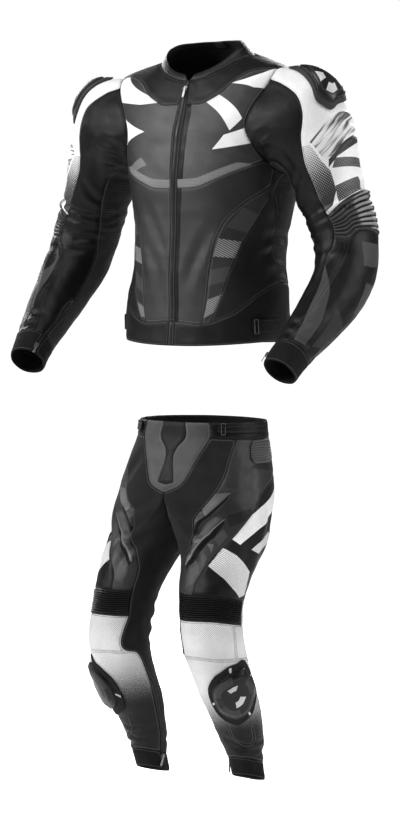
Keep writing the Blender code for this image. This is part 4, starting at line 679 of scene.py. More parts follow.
class Patch:
    """One skin cut up by seams.  Lines are arrays of (angle, height); a name fills each area."""

    def __init__(self, region):
        self.region = region
        self.surface = SURFACES[region]
        self.scale = SCALES[region]
        self.angles, self.heights, self.guide = DOMAINS[region]
        self.lines = []
        self.shared = []
        self.sewn = []
        self.prints = []
        self.trim = []
        self.ribs = []
        self.extra = []

    def space(self, line):
        return self.surface(line[:, 0], line[:, 1])

    def resample(self, line, step=STEP):
        along = cumulative(self.space(line))
        count = max(1, math.ceil(along[-1] / step - 0.05))
        at = np.linspace(0, along[-1], count + 1)
        return np.stack([np.interp(at, along, line[:, k]) for k in (0, 1)], -1)

    def edge(self, line, shared=True, sewn=False):
        """An edge; a shared one keeps its points, a sewn one is drawn in and stitched."""
        self.lines.append(np.array(line, float))
        self.shared.append(shared)
        self.sewn.append(sewn)

    def straight(self, start, end, shared=False, sewn=False):
        self.edge(self.resample(between(start, end, EDGE_SAMPLES)), shared, sewn)

    def fine(self, points):
        """A smooth line through the points, straight if there are only two."""
        if len(points) == 2:
            return between(*points, 200)
        return curve(points, self.scale, 100 * len(points))

    def seam(self, points):
        self.edge(self.resample(self.fine(points)), False, True)

    def trimmed(self, points):
        """A row of stitches that parts no panels."""
        self.trim.append(self.resample(self.fine(points)))

    def printed(self, name, side, style, polygon):
        """A printed area on a panel, with straight edges through its corners."""
        corners = np.array(polygon, float)
        lines = [self.resample(between(a, b, 60), STEP * 1.2)
                 for a, b in zip(corners, np.roll(corners, -1, axis=0))]
        self.prints.append((name, side, style, lines))

    def ribbed(self, top, bottom, count, angles):
        """Rows of points for ribs between two seams, six to a rib."""
        top, bottom = seam_height(top), seam_height(bottom)
        self.ribs.append((top, bottom, angles))
        shares = (np.arange(count)[:, None] + np.array(RIB_ROWS)).ravel()[1:] / count
        span = self.space(np.array([(u, float(top(u))) for u in np.linspace(*angles, 60)]))
        for share in shares:
            u = np.linspace(*angles, int(cumulative(span)[-1] / RIB_STEP))
            self.extra += list(np.stack([u, top(u) * (1 - share) + bottom(u) * share], -1))

    def beside(self, points, rows):
        """Rows of points on both sides of a raised line."""
        line = self.resample(self.fine(points), RIDGE_STEP)
        for offset in [-distance for distance in rows] + list(reversed(rows)):
            self.extra += list(self.aside(line, offset)[1:-1])

    def stitched(self):
        """Every line that is drawn in and stitched."""
        return [line for line, sewn in zip(self.lines, self.sewn) if sewn] + self.trim

    def join_ends(self, reach=SEAM_REACH):
        """Each seam's loose ends go onto the nearest point of the line that they meet."""
        for n in 2 * [k for k, shared in enumerate(self.shared) if not shared]:
            self.join_end(n, 0, reach)
            self.join_end(n, -1, reach)

    def join_end(self, n, end, reach):
        point = self.lines[n][end] * self.scale
        best = (reach, None)
        for m, other in enumerate(self.lines):
            if m == n:
                continue
            flat = other * self.scale
            near = np.linalg.norm(flat - point, axis=1)
            k = int(near.argmin())
            along = flat[1:] - flat[:-1]
            t = np.clip(((point - flat[:-1]) * along).sum(1) / np.maximum((along ** 2).sum(1), 1e-18), 0, 1)
            foot = flat[:-1] + along * t[:, None]
            gap = np.linalg.norm(foot - point, axis=1)
            i = int(gap.argmin())
            corner = near[k] < max(gap[i] * 1.02, CORNER_REACH) or self.shared[m]
            if corner and near[k] < best[0]:
                best = (near[k], (m, k, None))
            elif not corner and gap[i] < best[0]:
                best = (gap[i], (m, i + 1, foot[i] / self.scale))
        if best[1] is None:
            return
        m, k, foot = best[1]
        if foot is not None:
            self.lines[m] = np.insert(self.lines[m], k, foot, axis=0)
            self.lines[n][end] = foot
        else:
            self.lines[n][end] = self.lines[m][k]

    def aside(self, line, distance):
        """The line moved sideways on the skin."""
        u, v = line[:, 0], line[:, 1]
        along_u = (self.surface(u + 0.2, v) - self.surface(u - 0.2, v)) / 0.4
        along_v = (self.surface(u, v + 0.0005) - self.surface(u, v - 0.0005)) / 0.001
        e, f, g = (along_u ** 2).sum(1), (along_u * along_v).sum(1), (along_v ** 2).sum(1)
        du, dv = np.gradient(u), np.gradient(v)
        a, b = -(f * du + g * dv), e * du + f * dv
        size = np.sqrt(np.maximum(e * a ** 2 + 2 * f * a * b + g * b ** 2, 1e-12))
        return line + np.stack([a, b], -1) * (distance / size)[:, None]

    def scatter(self):
        """Rows of points beside the sewn lines, then evenly spread points everywhere else."""
        lines = np.concatenate(self.lines + self.trim)
        tree = tree_of(self.space(lines))
        rows = np.concatenate([self.aside(line, side * SEAM_ROW)[1:-1]
                               for line in self.stitched() if len(line) > 3 for side in (-1, 1)])
        low, high = zip(self.angles, self.heights)
        rows = rows[np.all((rows > low) & (rows < high), axis=1)]
        far, _ = distances(tree, self.space(rows))
        rows = rows[far > SEAM_ROW * 0.7]
        extra = np.array(self.extra).reshape(-1, 2)
        if len(extra):
            far, _ = distances(tree, self.space(extra))
            extra = extra[far > RIDGE_CLEARANCE]
        printed = [line for row in self.prints for line in row[3]]
        given = np.concatenate([lines, rows, extra] + printed)
        v = np.linspace(*self.heights, 400)
        along = cumulative(self.surface(np.full(400, float(self.guide)), v))
        heights = np.interp(np.arange(STEP * 0.45, along[-1], STEP * ROW_SPACING), along, v)
        found = []
        for n, height in enumerate(heights):
            u = np.linspace(*self.angles, 241)
            ring = cumulative(self.surface(u, np.full(241, height)))
            count = max(3, round(ring[-1] / STEP))
            at = (np.arange(count) + (0.25 if n % 2 else 0.75)) / count * ring[-1]
            found.append(np.stack([np.interp(at, ring, u), np.full(count, height)], -1))
        found = np.concatenate(found)
        for top, bottom, angles in self.ribs:
            inside = (found[:, 0] > angles[0] - 1) & (found[:, 0] < angles[1] + 1)
            inside &= (found[:, 1] - top(found[:, 0])) * (found[:, 1] - bottom(found[:, 0])) < 0
            found = found[~inside]
        far, _ = distances(tree_of(self.space(given)), self.space(found))
        self.extra = np.concatenate([rows, extra, found[far > STEP * FREE_SPACE]])

    def triangles(self):
        """Points, triangles, panel names and print styles."""
        index, points = {}, []

        def number(point):
            key = (round(point[0] * 1e5), round(point[1] * 1e8))
            if key not in index:
                index[key] = len(points)
                points.append(Vector(point * self.scale))
            return index[key]

        def chained(lines):
            chains = [[number(point) for point in line] for line in lines]
            return [(a, b) for chain in chains for a, b in zip(chain, chain[1:]) if a != b]

        walls = chained(self.lines)
        edges = walls + chained(line for row in self.prints for line in row[3])
        for point in itertools.chain(self.extra, *self.trim):
            number(point)
        out = delaunay_2d_cdt(points, edges, [], 0, 1e-7)
        tris = np.array(out[2])
        flat = np.array([tuple(point) for point in out[0]])
        barrier = {ordered(*edge) for edge, source in zip(out[1], out[4])
                   if any(s < len(walls) for s in source)}
        names = self.named(flat, out[2], barrier)
        middle = flat[tris].mean(1) / self.scale
        styles = {side: np.full(len(tris), "", object) for side in ("left", "right")}
        for name, side, style, lines in self.prints:
            inside = within(middle, np.concatenate([line[:-1] for line in lines])) & (names == name)
            for each in styles:
                if side in (each, "both"):
                    styles[each][inside] = style
        kept = names.astype(bool)
        tris = tris[kept]
        if self.region in TURNED:
            tris = tris[:, ::-1]
        return flat / self.scale, tris, names[kept], {side: row[kept] for side, row in styles.items()}

    def named(self, flat, tris, barrier):
        """The panel of each triangle: a name spreads from its spots as far as the seams."""
        beside = {}
        for n, tri in enumerate(tris):
            for a, b in zip(tri, tri[1:] + tri[:1]):
                beside.setdefault(ordered(a, b), []).append(n)
        names = [None] * len(tris)
        for name, spots in SPOTS[self.region].items():
            for spot in spots:
                start = holding(flat[np.array(tris)], np.array(spot) * self.scale)
                if names[start] not in (None, name):
                    raise ValueError(f"{name} leaks into {names[start]}")
                queue, names[start] = [start], name
                while queue:
                    a, b, c = tris[queue.pop()]
                    for side in {ordered(a, b), ordered(b, c), ordered(c, a)} - barrier:
                        for m in beside[side]:
                            if names[m] is None:
                                names[m] = name
                                queue.append(m)
        return np.array(names, object)


def holding(corners, spot):
    """Which triangle holds the spot."""
    inside = np.ones(len(corners), bool)
    for k in range(3):
        a, b = corners[:, k], corners[:, (k + 1) % 3]
        cross = (b[:, 0] - a[:, 0]) * (spot[1] - a[:, 1]) - (b[:, 1] - a[:, 1]) * (spot[0] - a[:, 0])
        inside &= cross >= 0
    return int(np.argmax(inside))


def within(points, polygon):
    """Which points lie inside a polygon."""
    inside = np.zeros(len(points), bool)
    x, y = points[:, 0], points[:, 1]
    for a, b in zip(polygon, np.roll(polygon, -1, axis=0)):
        crosses = (a[1] > y) != (b[1] > y)
        with np.errstate(divide="ignore", invalid="ignore"):
            at = a[0] + (y - a[1]) / (b[1] - a[1]) * (b[0] - a[0])
        inside ^= crosses & (x < at)
    return inside


class Unrolled:
    """Turns (angle, height) into metres along the skin, for patterns that keep their size."""

    COLUMNS, ROWS = 181, 81

    def __init__(self, patch):
        self.u = np.linspace(*patch.angles, self.COLUMNS)
        self.v = np.linspace(*patch.heights, self.ROWS)
        u, v = np.meshgrid(self.u, self.v)
        space = patch.surface(u.ravel(), v.ravel()).reshape(self.ROWS, self.COLUMNS, 3)
        steps = np.linalg.norm(np.diff(space, axis=1), axis=2)
        self.x = np.concatenate([np.zeros((self.ROWS, 1)), np.cumsum(steps, axis=1)], axis=1)
        start = np.abs(self.u).argmin()
        self.x -= self.x[:, start:start + 1]

    def __call__(self, u, v):
        a = np.clip((u - self.u[0]) / (self.u[1] - self.u[0]), 0, self.COLUMNS - 1.001)
        b = np.clip((v - self.v[0]) / (self.v[1] - self.v[0]), 0, self.ROWS - 1.001)
        i, j = a.astype(int), b.astype(int)
        s, t = a - i, b - j
        return ((self.x[j, i] * (1 - s) + self.x[j, i + 1] * s) * (1 - t)
                + (self.x[j + 1, i] * (1 - s) + self.x[j + 1, i + 1] * s) * t)


def sewn_height(flat, tris, names, away):
    """How far raised lines, ribs and seams move each point outward, by its distance from a seam."""
    height = np.zeros(len(flat))
    for name in sorted(set(names) & set(RELIEF)):
        mine = np.unique(tris[names == name])
        height[mine] = RELIEF[name](flat[mine, 0], flat[mine, 1]) * ease(away[mine] / RELIEF_EDGE)
    height -= SEAM_DEPTH * (1 - ease(away / SEAM_WIDTH))
    return height + SEAM_SWELL * np.exp(-((away - SWELL_AT) / SWELL_WIDTH) ** 2)


class Skin:
    """All panels of both garments, welded, so that neighbours share points and normals."""

    def __init__(self):
        self.points = []
        self.height = []
        self.region = []
        self.rounds = {}
        self.faces = {}
        self.count = 0
        self.open = {}

    def add(self, patch):
        """Put both halves of a patch in, with what its shader needs at each corner."""
        flat, tris, names, styles = patch.triangles()
        used, tris = np.unique(tris, return_inverse=True)
        tris = tris.reshape(-1, 3)
        flat = flat[used]
        space = patch.space(flat)
        fine = [patch.space(patch.resample(line, FINE_STEP)) for line in patch.stitched()]
        away, nearest = distances(tree_of(np.concatenate(fine)), space)
        along = np.concatenate([cumulative(line) for line in fine])[nearest]
        unroll = Unrolled(patch)
        self.rounds[patch.region] = unroll.v, unroll.x[:, -1] - unroll.x[:, 0]
        x = unroll(flat[:, 0], flat[:, 1])
        corner = np.stack([x, flat[:, 1], np.minimum(away, FAR_FROM_SEAMS), along], -1)
        height = sewn_height(flat, tris, names, away)
        border = np.unique(open_edges(tris))
        inner = np.setdiff1d(np.arange(len(flat)), border)
        for side, flip in SIDES:
            placed = space * [flip, 1, 1]
            number = np.empty(len(placed), int)
            for i in border:
                number[i] = self.welded(placed[i], height[i])
            number[inner] = self.count + np.arange(len(inner))
            self.count += len(inner)
            self.points.append(placed[inner])
            self.height.append(height[inner])
            self.region += [patch.region] * len(inner)
            faces = number[tris]
            for name in sorted(set(names)):
                mine = names == name
                label = name if name in SINGLE else name + "_" + side
                style = styles[side][mine]
                # painted highlight: the high faces of ribs, away from seams, take the lighter crest style
                if name in RIBS:
                    high = height[tris[mine]].min(1) > RIB_HIGHLIGHT_HEIGHT
                    inside = corner[tris[mine]][:, :, 2].min(1) > RIB_SEAM
                    style[high & inside] = RIBS[name]
                self.faces.setdefault(label, []).append(
                    (faces[mine][:, ::flip], (corner * [flip, 1, 1, 1])[tris[mine]][:, ::flip], style))

    def welded(self, point, height):
        """The number of the border point already at this place, or a new one."""
        cell = tuple(int(math.floor(c / WELD)) for c in point)
        for step in itertools.product((-1, 0, 1), repeat=3):
            for place, number in self.open.get(tuple(c + s for c, s in zip(cell, step)), ()):
                if np.linalg.norm(place - point) < WELD:
                    return number
        self.open.setdefault(cell, []).append((point, self.count))
        self.points.append(point[None])
        self.height.append(np.array([height]))
        self.region.append("seam")
        self.count += 1
        return self.count - 1

    def finish(self):
        """Join everything and find one normal for each point."""
        self.points = np.concatenate(self.points)
        self.height = np.concatenate(self.height)
        self.region = np.array(self.region)
        self.faces = {label: [np.concatenate(column) for column in zip(*parts)]
                      for label, parts in self.faces.items()}
        self.all_faces = np.concatenate([parts[0] for parts in self.faces.values()])
        self.normals = self.find_normals(self.points)
        self.base, self.base_normals = self.points, self.normals

    def find_normals(self, points):
        a, b, c = (points[self.all_faces[:, k]] for k in range(3))
        cross = np.cross(b - a, c - a)
        normals = np.zeros_like(points)
        for k in range(3):
            np.add.at(normals, self.all_faces[:, k], cross)
        return normals / np.maximum(np.linalg.norm(normals, axis=1, keepdims=True), 1e-12)

    def displace(self, height):
        """Move every point outward by its height."""
        self.moved = height
        self.points = self.points + self.normals * height[:, None]
        self.normals = self.find_normals(self.points)
        self.trees = {}

    def on_cloth(self, region, u, v, rise, flip):
        """A place that stands `rise` above the cloth as its folds have left it, and outward there."""
        u, v = both(u, v)
        place, out = on_skin(region, u, v, flip)
        if (region, flip) not in self.trees:
            mine = np.flatnonzero(((self.region == region) | (self.region == "seam"))
                                  & (self.base[:, 0] * flip > -MIDDLE_OVERLAP))
            self.trees[region, flip] = tree_of(self.base[mine]), mine
        tree, mine = self.trees[region, flip]
        height = np.zeros(place.shape[:-1])
        for at in np.ndindex(height.shape):
            found = [(self.moved[mine[f[1]]], f[2]) for f in tree.find_n(place[at], NEIGHBOURS)
                     if self.base_normals[mine[f[1]]] @ out[at] > 0]
            if found:
                weight = [1 / (distance + NEAREST) for _, distance in found]
                height[at] = sum(w * h for w, (h, _) in zip(weight, found)) / sum(weight)
        return place + out * (height + rise)[..., None], out


# --- raised lines, ribs and folds ---------------------------------------------------------------
def seam_height(points):
    """The height of a seam as a function of the angle."""
    table = np.array(sorted(points), float)
    return lambda u: smooth(table[:, 0], table[:, 1], u)


def rib_relief(top, bottom, count, height):
    """Rounded ribs from the top seam of an accordion panel to its bottom seam."""
    top, bottom = seam_height(top), seam_height(bottom)

    def relief(u, v):
        t = np.clip((v - top(u)) / (bottom(u) - top(u)), 0, 1)
        return height * (np.abs(np.sin(math.pi * count * t)) ** RIB_ROUNDNESS - RIB_VALLEY)
    return relief


def line_relief(region, lines, width, height, groove):
    """Ridges along the given lines, with a sharper groove under each."""
    def relief(u, v):
        found = np.zeros(len(u))
        sunk = np.zeros(len(u))
        for line in lines:
            corners = np.array(line, float) * SCALES[region]
            best = np.full(len(u), 9.0)
            signed = np.full(len(u), 9.0)
            ends = np.zeros(len(u))
            for n, (a, b) in enumerate(zip(corners, corners[1:])):
                spot = np.stack([u, v], -1) * SCALES[region] - a
                t = np.clip(spot @ (b - a) / ((b - a) @ (b - a)), 0, 1)
                rest = spot - t[:, None] * (b - a)
                away = np.linalg.norm(rest, axis=1)
                closer = away < best
                best = np.where(closer, away, best)
                signed = np.where(closer, away * np.sign(rest[:, 1]), signed)
                ends = np.where(closer, (n + t) / (len(corners) - 1), ends)
            taper = np.sin(math.pi * np.clip(ends, 0.02, 0.98)) ** 0.5
            found = np.maximum(found, height * taper * ease(1.15 - best / width))
            from_groove = (signed + GROOVE_AT * width) / (GROOVE_WIDTH * width)
            sunk = np.maximum(sunk, groove * taper * np.exp(-from_groove ** 2))
        return found - sunk
    return relief


RELIEF = {
    "elbow_ribs": rib_relief(ELBOW_TOP, ELBOW_BOTTOM, ELBOW_RIBS, 0.0035),
    "knee_ribs": rib_relief(KNEE_TOP, KNEE_BOTTOM, KNEE_RIBS, 0.0032),
    "sleeve_outer": line_relief("sleeve", SHOULDER_PLEATS, PLEAT_WIDTH, PLEAT_HEIGHT, 0.0015),
    "thigh": line_relief("leg", THIGH_RIDGES, RIDGE_WIDTH, RIDGE_HEIGHT, 0.0022),
}


# --- patches ------------------------------------------------------------------------------------
def half_round(patch, start, height):
    """Evenly spaced points at one height from the start angle to the middle of the back."""
    return patch.resample(np.linspace((start, height), (180, height), EDGE_SAMPLES))


def sewn(patch, reach=SEAM_REACH):
    """Draw what divides and decorates the patch between its edges."""
    for line in SEAMS[patch.region]:
        patch.seam(line)
    patch.join_ends(reach)
    for row in PRINTS.get(patch.region, ()):
        patch.printed(*row)
    for points in TRIM[patch.region]:
        patch.trimmed(points)


def body_patch():
    patch = Patch("body")
    neck = half_round(patch, ZIP_HALF_ANGLE, NECK_V)
    patch.edge(np.concatenate([[(0, NECK_V)], neck]), True, True)
    patch.edge(half_round(patch, ZIP_HALF_ANGLE, 0), False, True)
    patch.edge([(0, 0), (ZIP_HALF_ANGLE, 0)], False)
    patch.straight((0, 0), (0, NECK_V))
    patch.straight((180, 0), (180, NECK_V))
    loop = np.stack(armhole(np.linspace(0, -360, ARMHOLE_POINTS + 1)), -1)
    patch.edge(loop, True, True)
    patch.straight((ZIP_HALF_ANGLE, 0), (ZIP_HALF_ANGLE, NECK_V), True, True)
    sewn(patch)
    patch.scatter()
    return patch


def collar_patch():
    patch = Patch("collar")
    neck = half_round(Patch("body"), ZIP_HALF_ANGLE, NECK_V)
    patch.edge(neck * [1, 0], True, True)
    patch.seam(COLLAR_FRONT_EDGE)
    patch.edge(half_round(patch, *COLLAR_FRONT_EDGE[-1]), False, True)
    patch.straight((180, 0), (180, 1))
    sewn(patch, 0.004)
    patch.scatter()
    return patch


def sleeve_patch():
    patch = Patch("sleeve")
    turns = np.linspace(-180, 180, ARMHOLE_POINTS + 1)
    patch.edge(np.stack([turns, np.zeros(len(turns))], -1), True, True)
    for angle in (-180, 180):
        patch.straight((angle, 0), (angle, CUFF_TOP), True)
        patch.straight((angle, CUFF_TOP), (angle, SLEEVE_LENGTH), True)
    patch.straight((-180, SLEEVE_LENGTH), (180, SLEEVE_LENGTH), False, True)
    patch.straight((-180, CUFF_TOP), (-153, CUFF_TOP), False, True)
    patch.straight((-142, CUFF_TOP), (180, CUFF_TOP), False, True)
    sewn(patch)
    patch.ribbed(ELBOW_TOP, ELBOW_BOTTOM, ELBOW_RIBS, (-74, 60.5))
    for line in SHOULDER_PLEATS:
        patch.beside(line, PLEAT_ROWS)
    patch.scatter()
    return patch


def rise_edge(patch, side):
    """The crotch seam on one side, front (-1) or back (1), from the waist to the inseam."""
    down = patch.resample(np.linspace((90, WAIST_Z), (90, RISE_TOP_Z), 400) * [side, 1])
    turn = np.linspace(90, 180, 800)
    under = np.stack([turn, smooth(RISE_TABLE["phi"], RISE_TABLE["z"], turn)], -1)
    under = patch.resample(under * [side, 1])
    under[:, 1] = smooth(RISE_TABLE["phi"], RISE_TABLE["z"], under[:, 0])
    return np.concatenate([down, under[1:]])


def leg_patch():
    patch = Patch("leg")
    for side in (-1, 1):
        patch.edge(rise_edge(patch, side))
    for angle in (-180, 180):
        patch.straight((angle, CROTCH_Z), (angle, ANKLE_CUFF_Z), True)
        patch.straight((angle, ANKLE_CUFF_Z), (angle, ANKLE_Z), True)
    patch.straight((-90, WAIST_Z), (90, WAIST_Z), False, True)
    patch.straight((-180, ANKLE_Z), (180, ANKLE_Z), False, True)
    patch.straight((-180, ANKLE_CUFF_Z), (-177, ANKLE_CUFF_Z), False, True)
    patch.straight((-169, ANKLE_CUFF_Z), (180, ANKLE_CUFF_Z), False, True)
    sewn(patch)
    patch.ribbed(KNEE_TOP, KNEE_BOTTOM, KNEE_RIBS, (-131, 17))
    for line in THIGH_RIDGES:
        patch.beside(line, RIDGE_ROWS)
    patch.scatter()
    return patch


# --- shells -------------------------------------------------------------------------------------
def open_edges(faces):
    """The edges that only one face uses, in that face's direction."""
    edges = np.concatenate([faces[:, [0, 1]], faces[:, [1, 2]], faces[:, [2, 0]]])
    size = int(faces.max()) + 1
    code = edges[:, 0].astype(np.int64) * size + edges[:, 1]
    back = edges[:, 1].astype(np.int64) * size + edges[:, 0]
    return edges[~np.isin(code, back)]


def shell(skin, label, wall):
    """One panel as a thin closed shell: points, faces, corner data and print styles."""
    faces, corner, styles = skin.faces[label]
    rim = open_edges(faces)
    used, faces_local = np.unique(faces, return_inverse=True)
    faces_local = faces_local.reshape(-1, 3)
    at = np.full(int(used.max()) + 1, -1)
    at[used] = np.arange(len(used))
    points, normals = skin.points[used], skin.normals[used]
    inward = np.zeros_like(points)
    along = skin.points[rim[:, 1]] - skin.points[rim[:, 0]]
    for k in (0, 1):
        side = np.cross(skin.normals[rim[:, k]], along)
        side /= np.maximum(np.linalg.norm(side, axis=1, keepdims=True), 1e-12)
        np.add.at(inward, at[rim[:, k]], side)
    length = np.linalg.norm(inward, axis=1)
    points = points + inward * (2 * HALF_GAP / np.maximum(length, SHARPEST_CORNER) ** 2)[:, None]
    n = len(used)
    a, b = at[rim[:, 0]], at[rim[:, 1]]
    walls = np.concatenate([np.stack([b, a, n + a], -1), np.stack([b, n + a, n + b], -1)])
    data = np.zeros((n, 4))
    data[faces_local.ravel()] = corner.reshape(-1, 4)
    wall_data = data[walls % n]
    everything = np.concatenate([faces_local, faces_local[:, ::-1] + n, walls])
    corners = np.concatenate([corner, corner[:, ::-1], wall_data])
    layer = np.concatenate([np.zeros(len(faces)), np.ones(len(faces)), np.full(len(walls), 2)])
    return np.concatenate([points, points - normals * wall]), everything, corners, styles, layer


def make_cloth(skin, label, wall, style):
    """The object for a panel, with its outer style, its printed areas and its lining."""
    points, faces, corner, styles, layer = shell(skin, label, wall)
    points = lifted(points)
    mesh = bpy.data.meshes.new(label + "_cloth")
    mesh.vertices.add(len(points))
    mesh.vertices.foreach_set("co", points.astype(np.float32).ravel())
    mesh.loops.add(3 * len(faces))
    mesh.loops.foreach_set("vertex_index", faces.astype(np.int32).ravel())
    mesh.polygons.add(len(faces))
    mesh.polygons.foreach_set("loop_start", np.arange(0, 3 * len(faces), 3, dtype=np.int32))
    names = [style] + sorted(set(styles) - {"", style}) + [LININGS.get(style, "dark_mesh")]
    index = np.zeros(len(faces), np.int32)
    index[:len(styles)] = [names.index(s) if s else 0 for s in styles]
    index[layer == 1] = len(names) - 1
    mesh.polygons.foreach_set("material_index", index)
    skin_map = mesh.uv_layers.new(name="skin")
    seam_map = mesh.uv_layers.new(name="seam")
    skin_map.data.foreach_set("uv", corner[:, :, :2].astype(np.float32).ravel())
    seam_map.data.foreach_set("uv", corner[:, :, 2:].astype(np.float32).ravel())
    for name in names:
        mesh.materials.append(STYLES[name])
    mesh.update(calc_edges=True)
    mesh.validate()
    mesh.shade_smooth()
    mesh.set_sharp_from_angle(angle=math.radians(SHARP_CLOTH))
    made = bpy.data.objects.new(label + "_cloth", mesh)
    bpy.context.scene.collection.objects.link(made)
    return made

